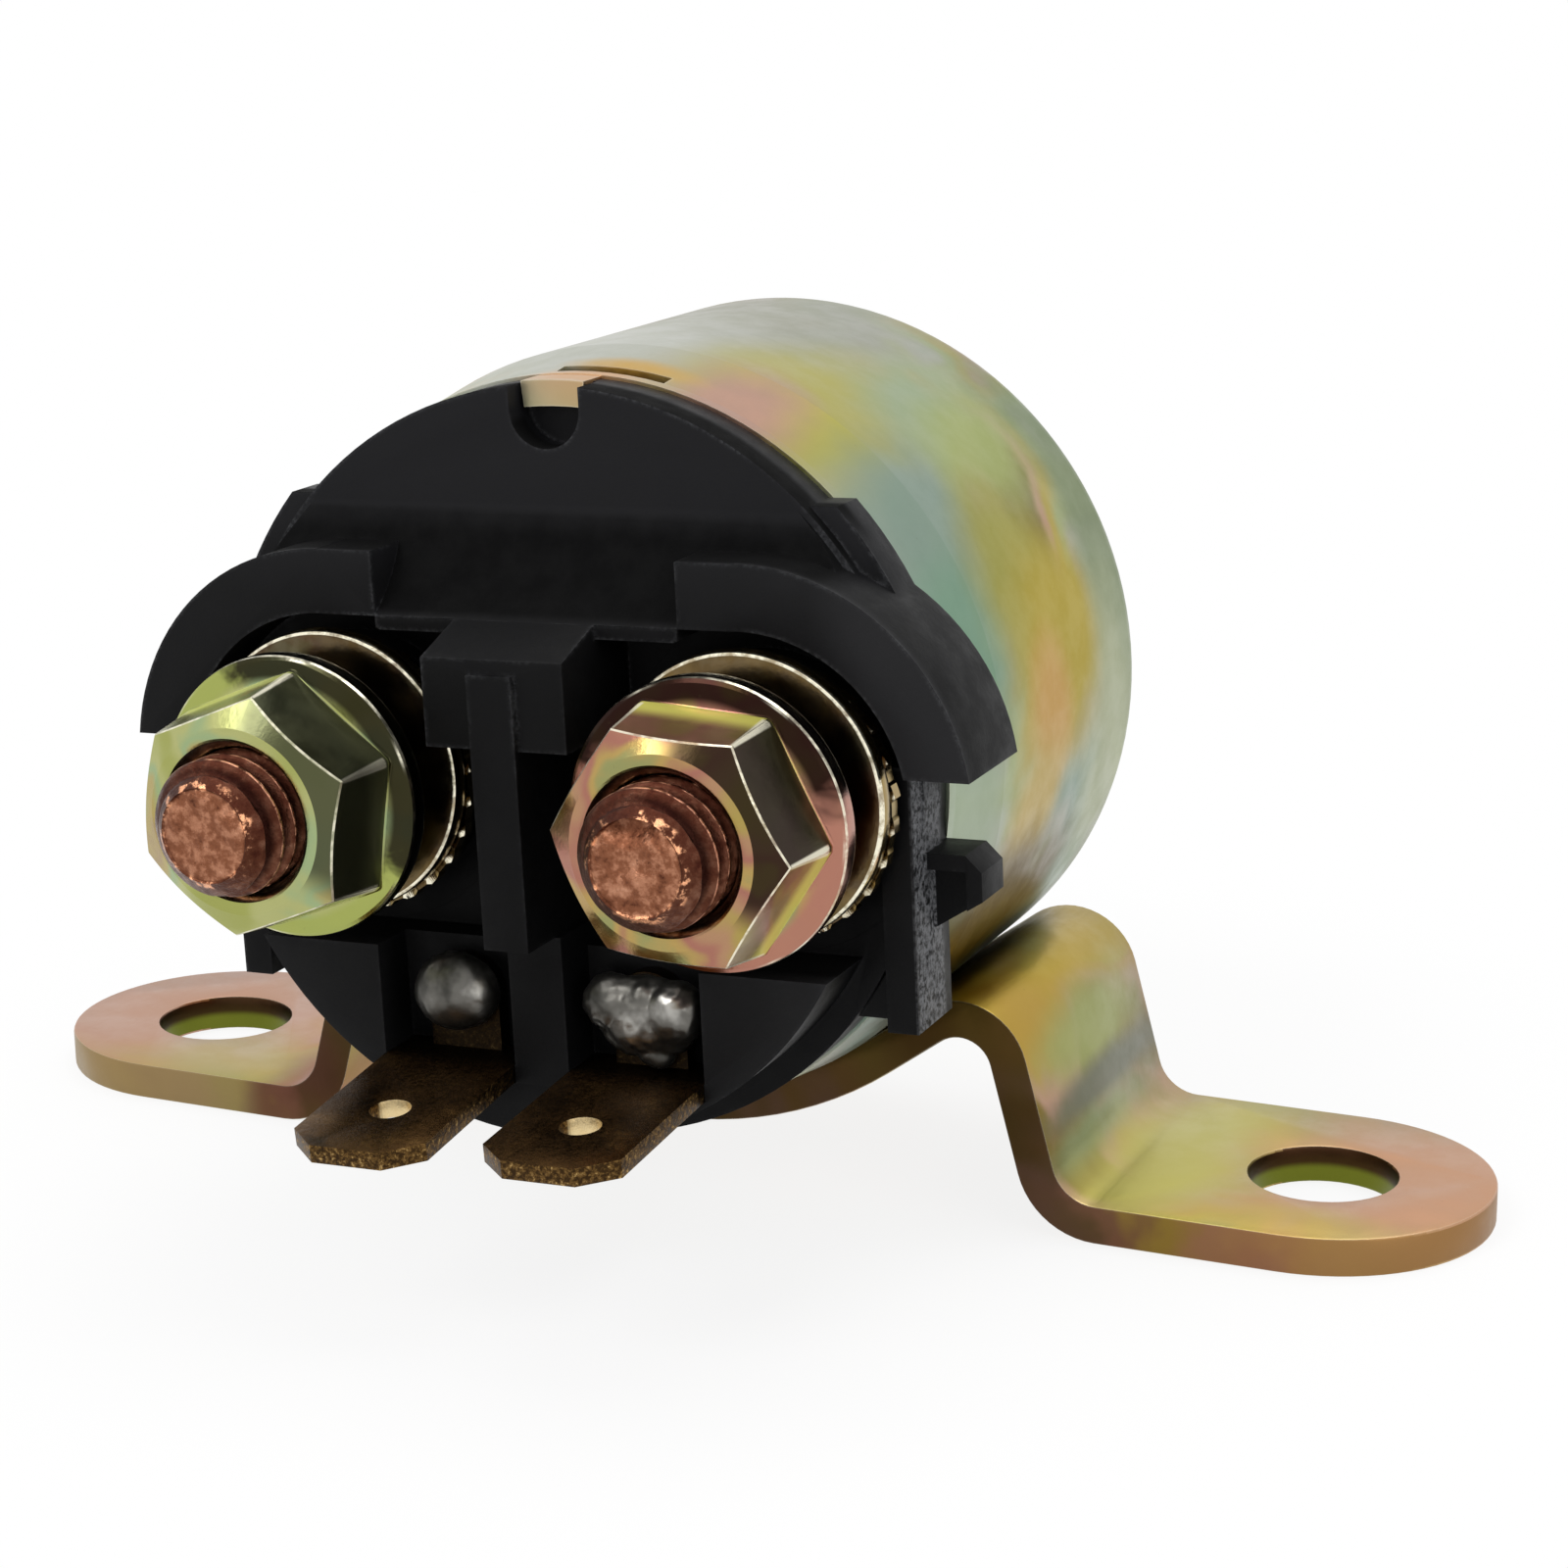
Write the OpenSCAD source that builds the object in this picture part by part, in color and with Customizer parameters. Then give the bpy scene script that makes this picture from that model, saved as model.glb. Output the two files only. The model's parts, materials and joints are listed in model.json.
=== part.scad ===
// Starter solenoid relay: a necked steel can on a welded strap bracket, closed by a moulded terminal cap.
// Seen from the terminals, X points right and Z up. Y runs along the can towards its closed end.
// The origin lies on the mounting plane, midway between the two bracket holes.

/* [Can] */
// Outer diameter of the drawn steel can
can_d = 34.5; // [33.5:0.1:37]
// Length of the can from its mouth to its closed end
can_l = 23.7; // [23:0.1:30]
// Wall thickness of the can
can_wall = 0.9; // [0.7:0.1:1.1]
// Outer radius of the can's rear edge
can_edge_r = 1.6; // [1.3:0.1:2.5]
// How much smaller the radius is at the necked mouth
neck_step = 0.6; // [0.1:0.05:0.8]
// Length of the necked mouth
neck_l = 5; // [2:0.5:7]
// Angle that the can is turned in its bracket, as welded
clocking = 2.1; // [-4:0.1:4]

/* [Staked tab] */
// Width of the staked tab
tab_w = 3; // [2:0.1:3]
// How far the tab stands out of the mouth
tab_l = 1.7; // [1.4:0.1:2.2]
// How far the tab's end is bent in
tab_lip = 0.3; // [0.2:0.1:1.4]
// Length of the relief slit behind the tab
slit_l = 5.6; // [3:0.1:6]
// Width of the relief slit
slit_w = 0.8; // [0.5:0.1:1]
// Distance of the relief slit from the mouth
slit_back = 0.7; // [0.6:0.1:2]

/* [Bracket] */
// Thickness of the strap
strap_t = 1.8; // [1.5:0.1:2.2]
// Width of the strap
strap_w = 15.6; // [13:0.1:18]
// Distance between the two bolt holes
hole_pitch = 58.7; // [57:0.1:66]
// Diameter of a bolt hole
hole_d = 6.8; // [5:0.1:8]
// Height of the can's axis above the mounting plane
axis_h = 22.2; // [21.2:0.1:26]
// Distance from the line of the holes to the can's mouth
mouth_setback = 14.2; // [12:0.1:17]
// Angle below horizontal at which the strap leaves the can
leave_angle = 54; // [50:1:58]
// Length of the straight part between the can and the crest
lift_l = 3.1; // [2:0.1:4]
// Slope of the leg from the crest to the ear
leg_angle = 75; // [65:1:82]
// Inner radius of the crest bend
crest_r = 1.5; // [1.2:0.1:2.2]
// Inner radius of the bend at the ear
foot_r = 2; // [1.2:0.1:2.6]

/* [Terminal cap] */
// Radius of the cap's upper face
face_r = 16.5; // [16.2:0.1:16.7]
// How far the upper face stands out of the mouth
face_h = 2.6; // [2.2:0.1:3.2]
// Radius of the side flange that covers the can's rim
flange_r = 17.4; // [17.3:0.1:18]
// How far the side flange stands out of the mouth
flange_h = 2.1; // [1.9:0.1:2.2]
// Height at which the side flange ends above the axis
flange_top = 11.6; // [10.5:0.1:12.5]
// Half width of the cap over its side walls
wing_x = 16.4; // [16:0.1:17]
// Depth of the side walls below the axis
wing_drop = 10.2; // [8:0.1:10.5]
// Thickness of a side wall
wing_t = 1.4; // [1:0.1:1.6]
// Height of a side wall above the mouth
wing_h = 3.8; // [3:0.1:4.1]
// Height of the hoods and the ledge above the mouth
hood_h = 5.6; // [5.2:0.1:6.5]
// Wall thickness of a hood
hood_wall = 2.8; // [2:0.05:3]
// Distance of a hood's inner end from the centre line
hood_start = 7.15; // [6.8:0.05:7.6]
// Height of a hood's lower end above the axis
hood_end = 1.2; // [0.5:0.1:2.5]
// Height of the ledge's edge above the axis
ledge_y = 7; // [6.4:0.1:7.8]
// Thickness of the ledge
ledge_t = 0.6; // [0.5:0.1:0.7]
// Height of the sweep from the ledge up to the upper face
sweep_run = 4.5; // [4:0.1:8]
// Half width of the barrier's head
head_x = 3.3; // [2.6:0.1:3.3]
// Height of the barrier's head above the mouth
head_h = 8.6; // [7.6:0.1:9.5]
// Lower edge of the barrier's head above the axis
head_low = 2.2; // [2.2:0.1:3.5]
// Fall of the head's sloping top towards its front
head_fall = 1; // [0.4:0.1:1.4]
// Thickness of the barrier's web
web_t = 2.1; // [1.6:0.1:2.4]
// How far the web stands proud of the head
web_proud = 0.3; // [0.1:0.1:0.5]
// Depth of the web's lower end below the axis
web_low = 6.4; // [5.5:0.1:7]
// Height of the lower block above the mouth
block_h = 6.5; // [5.6:0.1:6.6]
// Radius of the lower block
block_r = 15.4; // [14.8:0.1:15.8]
// Depth of the lower block's top edge below the axis
block_top = 7.4; // [7.2:0.1:7.8]
// Half width of the rib between the two solder pockets
rib_x = 1.3; // [1.2:0.1:1.4]
// Depth of the solder pockets
pocket_depth = 2.4; // [1.6:0.1:2.6]
// Width of a staking notch
notch_w = 3.3; // [3.2:0.1:4]
// Reach of the notch below the edge of the upper face
notch_reach = 2.7; // [2.6:0.1:3.2]
// Depth of the hooked lug's upper side below the axis
lug_top = 2.7; // [2.2:0.1:3.2]
// Reach of the hooked lug outside a side wall
lug_reach = 2.5; // [2:0.1:2.8]
// Width of the hooked lug, measured along the side wall
lug_w = 3.9; // [3.4:0.1:4.4]
// Height of the hooked lug above the mouth
lug_h = 2.5; // [2.2:0.1:3]
// Width of the raised rim on the lug's upper and outer sides
lug_rim = 0.7; // [0.5:0.1:0.9]
// Depth of the lug inside its raised rim
lug_sink = 0.9; // [0.5:0.1:1.2]
// Depth of the plug inside the can
plug_l = 8.2; // [8.1:0.1:8.5]
// Thickness of the cap behind the stud pockets
floor_t = 2; // [1.6:0.1:2.4]
// Height of the stud pocket's floor above the mouth
pocket_floor = 1.2; // [1:0.1:1.5]

/* [Studs, nuts and washers] */
// Distance between the two studs
stud_pitch = 19.6; // [19.4:0.1:20]
// Distance of the studs below the can's axis
stud_drop = 0.2; // [0:0.1:0.3]
// Thread diameter of the studs
stud_d = 6; // [5:0.5:6]
// Height of the stud's tip above the mouth
stud_h = 15.9; // [15:0.1:18]
// Chamfer of the stud's tip
stud_chamfer = 0.9; // [0.3:0.1:1]
// Diameter of the stud's contact head
contact_head_d = 8.4; // [7.6:0.1:8.4]
// Thickness of the stud's contact head
contact_head_t = 2; // [1.6:0.1:2]
// Size of the nut across its flats
nut_af = 10; // [9:0.5:10]
// Height of the nut
nut_h = 5.2; // [4.8:0.1:6]
// Diameter of the nut's flange
nut_flange_d = 12.3; // [12:0.1:12.8]
// Thickness of the flange at its edge
nut_flange_t = 1.1; // [1:0.1:1.6]
// Rise of the cone between the flange and the hexagon
nut_cone_h = 0.8; // [0.6:0.1:1.4]
// Radius of the nut's flat front face
nut_face_r = 4.3; // [4:0.05:4.8]
// Open gap under a nut that is only run on by hand
nut_gap = 2.3; // [0:0.1:2.4]
// Width of the countersink round the nut's thread
nut_sink = 0.45; // [0.2:0.05:0.6]
// Turn of the left nut
nut_turn_left = 20.5; // [0:0.5:59]
// Turn of the right nut
nut_turn_right = 55.4; // [0:0.1:59]
// Diameter of the plain washer
washer_d = 12.4; // [12:0.1:12.6]
// Thickness of the plain washer
washer_t = 0.9; // [0.8:0.1:1.2]
// Diameter of the toothed washer over its teeth
tooth_d = 12.8; // [12.4:0.1:12.8]
// Depth of the teeth
tooth_depth = 0.9; // [0.6:0.1:1.2]
// Number of teeth
tooth_n = 18; // [12:1:20]
// Thickness of the toothed washer
lock_t = 1; // [0.8:0.1:1.2]
// Height of the stud's boss above the mouth
boss_h = 4.2; // [4.1:0.1:4.6]
// Diameter of the stud's boss
boss_d = 9.4; // [9:0.1:10]

/* [Blade terminals] */
// Width of a blade
blade_w = 6.3; // [5:0.1:6.3]
// Thickness of a blade
blade_t = 0.8; // [0.5:0.1:1]
// Distance of a blade's middle from the centre line
blade_x = 4.5; // [4.3:0.05:4.6]
// Depth of the blade's upper face below the axis
blade_y = 12.3; // [12.2:0.1:12.7]
// Height of the blade's tip above the mouth, before the blade is bent down
blade_h = 15.6; // [15:0.1:19]
// Angle that the left blade is bent down
blade_droop_left = 6; // [0:0.5:8]
// Angle that the right blade is bent down
blade_droop_right = 4; // [0:0.5:8]
// Distance of the blade's hole from its tip
blade_hole_back = 3.9; // [3.5:0.1:7]
// Diameter of the blade's hole
blade_hole_d = 1.8; // [1.4:0.1:2.2]
// Corner cut of the blade's tip, across the blade
blade_cut_x = 1.5; // [0.8:0.1:1.8]
// Corner cut of the blade's tip, along the blade
blade_cut_h = 1.3; // [1:0.1:2.8]
// Width of the lug that stands up behind a solder joint
riser_w = 3.4; // [3:0.1:4]
// Depth of the coil lead below the axis
lead_y = 9.8; // [9.5:0.1:10]
// Diameter of a coil lead
lead_d = 0.9; // [0.6:0.1:1]
// Radius of the left solder joint
solder_left_r = 2; // [1.6:0.1:2.2]
// Radius of the right solder joint
solder_right_r = 2.3; // [1.8:0.1:2.4]
// Height of a solder joint over its lug
solder_h = 1.9; // [1.4:0.1:2.1]

/* [Magnet] */
// Thickness of the flux plate under the cap
plate_t = 2; // [1.8:0.1:2.2]
// Thickness of the gasket under the plug
gasket_t = 0.5; // [0.4:0.1:0.6]
// Diameter of the plunger
plunger_d = 9.3; // [8.6:0.1:9.6]
// Travel of the plunger
plunger_travel = 3; // [2.7:0.1:3.1]
// Running clearance round sliding pieces
run_gap = 0.05; // [0.03:0.01:0.08]
// Wall of the brass guide tube
tube_wall = 0.3; // [0.25:0.05:0.4]
// Wall and flange thickness of the coil bobbin
bobbin_t = 1; // [0.8:0.1:1.2]
// Outer diameter of the winding
winding_d = 30; // [26:0.5:30.4]
// Thickness of the tape round the winding
wrap_t = 0.3; // [0.2:0.1:0.4]
// Length of the fixed core behind its plate
core_l = 1.9; // [1.7:0.1:2.2]
// Thickness of the rubber buffer
buffer_t = 0.7; // [0.5:0.1:0.9]
// Diameter of the push rod
rod_d = 2.5; // [2:0.1:2.6]

/* [Contact bridge] */
// Open gap between the contact disc and the studs
contact_gap = 2.5; // [2.3:0.1:2.6]
// Diameter of the contact disc
disc_d = 17.2; // [16:0.1:17.6]
// Thickness of the contact disc
disc_t = 1.4; // [1.2:0.1:1.5]
// Thickness of the retaining clip
clip_t = 0.6; // [0.5:0.1:0.7]
// Thickness of the bush's flange
bush_flange_t = 0.4; // [0.3:0.1:0.5]
// Length of the contact spring at rest
contact_spring_l = 2.3; // [2.2:0.1:2.4]
// Thickness of the spring collar on the rod
collar_t = 0.6; // [0.4:0.1:0.7]
// Wire diameter of the return spring
return_wire = 0.5; // [0.4:0.05:0.55]
// Wire diameter of the contact spring
contact_wire = 0.35; // [0.3:0.05:0.4]

/* [Hidden] */
$fn = 72;

// One overrun serves every cut.
over = 1;
// Gap between pieces that are pressed or bonded together
fit_gap = 0.02;
// Gap between the strap and the can, filled by the weld
weld_gap = 0.04;
// A tab is this much thinner than the can's wall on each side.
tab_inset = 0.04;
// Clearance round threads and leads
thread_gap = 0.05;

// Radii of the can
can_r = can_d / 2;
bore_r = can_r - can_wall;
mouth_r = can_r - neck_step;
mouth_bore_r = mouth_r - can_wall;
plug_r = mouth_bore_r - run_gap;
tab_out_r = mouth_r - tab_inset;
tab_in_r = mouth_bore_r + tab_inset;

// Stations along the can's axis, measured forward from the mouth
cavity_z = pocket_floor - floor_t;
contact_z = cavity_z - contact_head_t;
plug_z = -plug_l;
plate_z = plug_z - gasket_t;
bobbin_z = plate_z - plate_t;
inner_end_z = can_wall - can_l;
bobbin_end_z = inner_end_z + 0.5 * bobbin_t;
core_z = bobbin_z - core_l;
plunger_z = core_z - plunger_travel;
plunger_end_z = inner_end_z + buffer_t + run_gap;
disc_z = contact_z - contact_gap;
bush_end_z = disc_z - disc_t - bush_flange_t;
collar_z = bush_end_z - contact_spring_l;
lock_z = boss_h;
washer_z = lock_z + lock_t;
nut_z = washer_z + washer_t + nut_gap;
blade_bend_z = block_h + blade_t / 4;

// Radii of the inner pieces
plunger_r = plunger_d / 2;
tube_in_r = plunger_r + run_gap;
tube_out_r = tube_in_r + tube_wall;
bobbin_in_r = tube_out_r + run_gap;
bobbin_tube_r = bobbin_in_r + bobbin_t;
winding_r = winding_d / 2;
flange_in_r = winding_r + 2 * wrap_t;
rod_r = rod_d / 2;
bush_in_r = rod_r + run_gap;
bush_r = bush_in_r + 1.25 * bobbin_t;
disc_in_r = bush_r + fit_gap;
spring_r = bush_r - 0.4 * bush_flange_t;
collar_r = spring_r + contact_wire;
core_pocket_r = collar_r + 4 * run_gap;
core_web_t = 0.4 * plate_t;
core_front_depth = 0.9 * plate_t;
plunger_pocket = 0.4 * (plunger_z - plunger_end_z);
cavity_r = plug_r - 1.6;
lead_r = lead_d / 2;
lead_hole_r = lead_r + thread_gap;
sleeve_r = lead_r + 0.6 * lead_r;

// Cap
stud_x = stud_pitch / 2;
stud_r = stud_d / 2;
washer_r = washer_d / 2;
hood_in_r = ledge_y + stud_drop;
hood_out_r = hood_in_r + hood_wall;
pocket_r = 0.95 * washer_r;
ledge_rise = hood_h - face_h;
sweep_chord = norm([sweep_run, ledge_rise]);
sweep_r = 1.25 * sweep_chord * sweep_chord / (2 * ledge_rise);
sweep_away = sqrt(sweep_r * sweep_r - sweep_chord * sweep_chord / 4);
sweep_c = [face_h + ledge_rise / 2, ledge_y + sweep_run / 2]
    + sweep_away / sweep_chord * [sweep_run, ledge_rise];
block_pocket_x = blade_x + blade_w / 2 + thread_gap;
lug_z = block_h - pocket_depth;
notch_r = notch_w / 2;
notch_floor = 0.3 * face_h;

// Bracket bends, in the plane across the can with its origin on the can's axis
strap_mid_r = can_r + weld_gap + strap_t / 2;
crest_mid_r = crest_r + strap_t / 2;
foot_mid_r = foot_r + strap_t / 2;
lift_start = strap_mid_r * [cos(leave_angle), -sin(leave_angle)];
crest_c = lift_start + lift_l * [sin(leave_angle), cos(leave_angle)]
    + crest_mid_r * [cos(leave_angle), -sin(leave_angle)];
leg_start = crest_c + crest_mid_r * [sin(leg_angle), cos(leg_angle)];
foot_cy = foot_mid_r + strap_t / 2 - axis_h;
leg_end_y = foot_cy - foot_mid_r * cos(leg_angle);
leg_l = (leg_start[1] - leg_end_y) / sin(leg_angle);
leg_end_x = leg_start[0] + leg_l * cos(leg_angle);
foot_c = [leg_end_x + foot_mid_r * sin(leg_angle), foot_cy];
hole_x = hole_pitch / 2;
ear_r = strap_w / 2;

// Colours
zinc = "#c9bd7e";
phenolic = "#1d1e20";
copper = "#b87552";
brass = "#8f6b34";
nut_gold = "#c7b268";
steel = "#a9adb0";
solder_grey = "#9fa2a0";
nylon = "#d9d4c4";

// Puts a shape drawn at the can's mouth, with Z pointing out of it, in its place on the part.
module at_mouth() {
    translate([0, -mouth_setback, axis_h])
        rotate([90, 0, 0])
            rotate([0, 0, clocking])
                children();
}

// Puts a shape drawn on a stud's axis in its place: side is -1 for the left stud and 1 for the right.
module at_stud(side) {
    at_mouth()
        translate([side * stud_x, -stud_drop, 0])
            children();
}

// Puts a shape drawn in the middle of a blade terminal in its place.
module at_blade(side) {
    at_mouth()
        translate([side * blade_x, 0, 0])
            children();
}

// Round bar or tube between two stations on the can's axis
module tube(low, high, outer, inner = 0) {
    translate([0, 0, low])
        difference() {
            cylinder(r = outer, h = high - low);
            if (inner > 0)
                translate([0, 0, -over])
                    cylinder(r = inner, h = high - low + 2 * over);
        }
}

// Ring sector round the can's axis, between two stations and two angles
module sector(low, high, outer, inner, middle, width) {
    span = width / outer * 180 / PI;
    rotate([0, 0, middle - span / 2])
        rotate_extrude(angle = span)
            translate([inner, low])
                square([outer - inner, high - low]);
}

module mirrored(side) {
    scale_x = side < 0 ? 1 : 0;
    mirror([scale_x, 0, 0])
        children();
}

// Outline of the can's half section, with its rear edge rounded
module can_solid_profile(radius, edge, length) {
    translate([0, edge - length])
        square([radius, length - edge]);
    translate([0, -length])
        square([radius - edge, edge]);
    translate([radius - edge, edge - length])
        circle(r = edge);
}

module neck_profile(radius, step) {
    polygon([
        [radius - step, over],
        [radius - step, -slit_back],
        [radius, -neck_l],
        [radius + over, -neck_l],
        [radius + over, over]
    ]);
}

module can_shell() {
    inner_edge = can_edge_r - can_wall;
    rotate_extrude()
        difference() {
            can_solid_profile(can_r, can_edge_r, can_l);
            neck_profile(can_r, neck_step);
            difference() {
                can_solid_profile(bore_r, inner_edge, can_l - can_wall);
                neck_profile(bore_r, neck_step);
            }
            translate([0, -over])
                square([mouth_bore_r, 2 * over]);
        }
}

module can() {
    slit_turn = (slit_l - 0.8 * tab_w) / can_d * 180 / PI;
    color(zinc)
        at_mouth() {
            difference() {
                can_shell();
                sector(-slit_back - slit_w, -slit_back, can_r + over, bore_r - over, 90 - slit_turn, slit_l);
            }
            sector(-slit_back / 2, tab_l, tab_out_r, tab_in_r, 90, tab_w);
            sector(tab_l - can_wall, tab_l, tab_out_r, tab_in_r - tab_lip, 90, tab_w);
        }
}

// Wedge that covers the angles from one direction to another
module wedge(from, to, reach) {
    steps = 4;
    polygon(concat([[0, 0]], [for (i = [0:steps])
        let (a = from + (to - from) * i / steps)
        reach * [cos(a), sin(a)]]));
}

module strap_bend(centre, radius, from, to) {
    translate(centre)
        intersection() {
            difference() {
                circle(r = radius + strap_t / 2);
                circle(r = radius - strap_t / 2);
            }
            wedge(from, to, 2 * (radius + strap_t));
        }
}

// Right half of the strap's side view, from below the can to the end of the ear
module strap_half() {
    strap_bend([0, 0], strap_mid_r, -90, -leave_angle);
    translate(lift_start)
        rotate(90 - leave_angle)
            translate([-fit_gap, -strap_t / 2])
                square([lift_l + 2 * fit_gap, strap_t]);
    strap_bend(crest_c, crest_mid_r, 90 - leg_angle, 180 - leave_angle);
    translate(leg_start)
        rotate(-leg_angle)
            translate([-fit_gap, -strap_t / 2])
                square([leg_l + 2 * fit_gap, strap_t]);
    strap_bend(foot_c, foot_mid_r, -90 - leg_angle, -90);
    translate([foot_c[0] - fit_gap, -axis_h])
        square([hole_x + ear_r + fit_gap - foot_c[0], strap_t]);
}

module mounting_bracket() {
    top = axis_h + can_r;
    color(zinc)
        difference() {
            intersection() {
                translate([0, strap_w / 2, axis_h])
                    rotate([90, 0, 0])
                        linear_extrude(strap_w) {
                            strap_half();
                            mirror([1, 0, 0])
                                strap_half();
                        }
                translate([0, 0, -over])
                    linear_extrude(top) {
                        translate([-hole_x, -strap_w / 2])
                            square([hole_pitch, strap_w]);
                        for (side = [-1, 1])
                            translate([side * hole_x, 0])
                                circle(r = ear_r);
                    }
            }
            for (side = [-1, 1])
                translate([side * hole_x, 0, -over])
                    cylinder(r = hole_d / 2, h = strap_t + 2 * over);
        }
}

// Flange outline that rests on the can's rim, with straight sides below it
module flange_outline() {
    intersection() {
        circle(r = flange_r);
        translate([-wing_x, 0])
            square([2 * wing_x, flange_top]);
    }
    translate([-wing_x, -wing_drop])
        square([2 * wing_x, wing_drop + fit_gap]);
}

// Hood round the upper outer side of a stud, with a flat top on its inner side
module hood() {
    linear_extrude(hood_h) {
        intersection() {
            translate([stud_x, -stud_drop])
                circle(r = hood_out_r);
            translate([stud_x, hood_end])
                square([hood_out_r, hood_out_r]);
        }
        translate([hood_start, ledge_y - ledge_t])
            square([stud_x + fit_gap - hood_start, hood_wall + ledge_t - fit_gap]);
    }
}

// Room round a stud's washers, with a flat top on its inner side
module hood_room() {
    translate([stud_x, -stud_drop])
        circle(r = hood_in_r);
    translate([hood_start - fit_gap, 0])
        square([stud_x - hood_start, ledge_y - fit_gap]);
}

// Ledge across the cap, with a hollow sweep up to the upper face
module ledge() {
    low = ledge_y - ledge_t;
    intersection() {
        translate([face_r, 0, 0])
            rotate([0, -90, 0])
                linear_extrude(2 * face_r)
                    difference() {
                        translate([flange_h, low])
                            square([hood_h - flange_h, ledge_t + sweep_run]);
                        translate(sweep_c)
                            circle(r = sweep_r, $fn = 180);
                    }
        cylinder(r = face_r - ledge_t / 2, h = hood_h + over);
    }
}

// Barrier between the studs: a head with a sloping top on a narrow web
module barrier() {
    translate([head_x, 0, 0])
        rotate([0, -90, 0])
            linear_extrude(2 * head_x)
                polygon([
                    [0, head_low],
                    [head_h, head_low],
                    [head_h, ledge_y - head_fall],
                    [hood_h, ledge_y],
                    [0, ledge_y]
                ]);
    translate([-web_t / 2, -web_low, 0])
        cube([web_t, web_low + ledge_y - 1.6 * head_fall, head_h + web_proud]);
}

// Lower block that carries the blades, with a pocket for each solder joint
module lower_block() {
    difference() {
        linear_extrude(block_h)
            intersection() {
                circle(r = block_r);
                translate([-block_r, -block_r])
                    square([2 * block_r, block_r - block_top]);
            }
        for (side = [-1, 1])
            mirrored(side)
                translate([rib_x, -blade_y, lug_z])
                    cube([block_pocket_x - rib_x, blade_y, block_h]);
    }
    translate([-rib_x, -block_top - over, 0])
        cube([2 * rib_x, block_top + over - web_low, block_h]);
}

module side_wall() {
    translate([wing_x - wing_t, -wing_drop, 0])
        cube([wing_t, wing_drop + hood_end + fit_gap, wing_h]);
}

// Hooked lug outside a side wall: its upper and outer sides carry a raised rim.
module side_lug() {
    end_x = wing_x + lug_reach;
    inner_x = wing_x - wing_t / 2;
    difference() {
        linear_extrude(lug_h)
            polygon([
                [inner_x, -lug_top],
                [end_x - lug_rim, -lug_top],
                [end_x, -lug_top - lug_rim],
                [end_x, -lug_top - lug_w / 2],
                [inner_x, -lug_top - lug_w]
            ]);
        translate([inner_x, -lug_top - lug_w - over, lug_h - lug_sink])
            cube([end_x - lug_rim - inner_x, lug_w - lug_rim + over, lug_h]);
    }
}

// Notch in the edge of the upper face, round the staked tab
module notch_cut() {
    translate([0, face_r - notch_reach + notch_r, notch_floor]) {
        cylinder(r = notch_r, h = hood_h);
        translate([-notch_r, 0, 0])
            cube([notch_w, notch_reach + 2 * over, hood_h]);
    }
}

module cap_body() {
    linear_extrude(face_h)
        circle(r = face_r);
    linear_extrude(flange_h)
        flange_outline();
    tube(plug_z, 0, plug_r);
    for (side = [-1, 1])
        mirrored(side) {
            hood();
            side_lug();
        }
    ledge();
    lower_block();
}

module cap_cuts() {
    tube(plug_z - over, cavity_z, cavity_r);
    for (side = [-1, 1])
        mirrored(side) {
            translate([stud_x, -stud_drop, pocket_floor])
                cylinder(r = pocket_r, h = hood_h);
            translate([0, 0, face_h - fit_gap])
                linear_extrude(hood_h)
                    hood_room();
            translate([blade_x - blade_w / 2 - fit_gap, -blade_y - blade_t - fit_gap, cavity_z - over])
                cube([blade_w + 2 * fit_gap, blade_t + 2 * fit_gap, block_h + 2 * over - cavity_z]);
            translate([blade_x, -lead_y, cavity_z - over])
                cylinder(r = lead_hole_r, h = block_h + over - cavity_z);
        }
    notch_cut();
    sector(-over, hood_h, flange_r + over, mouth_bore_r, 90, tab_w + 4 * run_gap);
}

module terminal_cap() {
    color(phenolic)
        at_mouth()
            difference() {
                union() {
                    difference() {
                        cap_body();
                        cap_cuts();
                    }
                    barrier();
                    for (side = [-1, 1]) {
                        mirrored(side)
                            side_wall();
                        translate([side * stud_x, -stud_drop, cavity_z])
                            cylinder(r = boss_d / 2, h = boss_h - cavity_z);
                    }
                }
                for (side = [-1, 1])
                    translate([side * stud_x, -stud_drop, cavity_z - over])
                        cylinder(r = stud_r + fit_gap, h = boss_h - cavity_z + 2 * over);
            }
}

module cap_gasket() {
    color("#3c3f3a")
        at_mouth()
            tube(plate_z + fit_gap, plug_z - fit_gap, bore_r - run_gap, cavity_r);
}

module stud() {
    head_r = contact_head_d / 2;
    color(copper)
        rotate_extrude()
            polygon([
                [0, contact_z],
                [head_r, contact_z],
                [head_r, cavity_z - fit_gap],
                [stud_r, cavity_z - fit_gap],
                [stud_r, stud_h - stud_chamfer],
                [stud_r - stud_chamfer, stud_h],
                [0, stud_h]
            ]);
}

module stud_left() {
    at_stud(-1)
        stud();
}

module stud_right() {
    at_stud(1)
        stud();
}

module toothed_washer() {
    root_r = tooth_d / 2 - tooth_depth;
    tooth_w = PI * root_r / tooth_n;
    color(nut_gold)
        translate([0, 0, lock_z + fit_gap])
            linear_extrude(lock_t - 2 * fit_gap)
                difference() {
                    union() {
                        circle(r = root_r);
                        for (i = [0:tooth_n - 1])
                            rotate(360 * i / tooth_n)
                                translate([0, -tooth_w / 2])
                                    square([tooth_d / 2, tooth_w]);
                    }
                    circle(r = stud_r + thread_gap);
                }
}

module lock_washer_left() {
    at_stud(-1)
        toothed_washer();
}

module lock_washer_right() {
    at_stud(1)
        toothed_washer();
}

module plain_washer() {
    color(nut_gold)
        tube(washer_z, washer_z + washer_t, washer_r, stud_r + thread_gap);
}

module plain_washer_left() {
    at_stud(-1)
        plain_washer();
}

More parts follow.
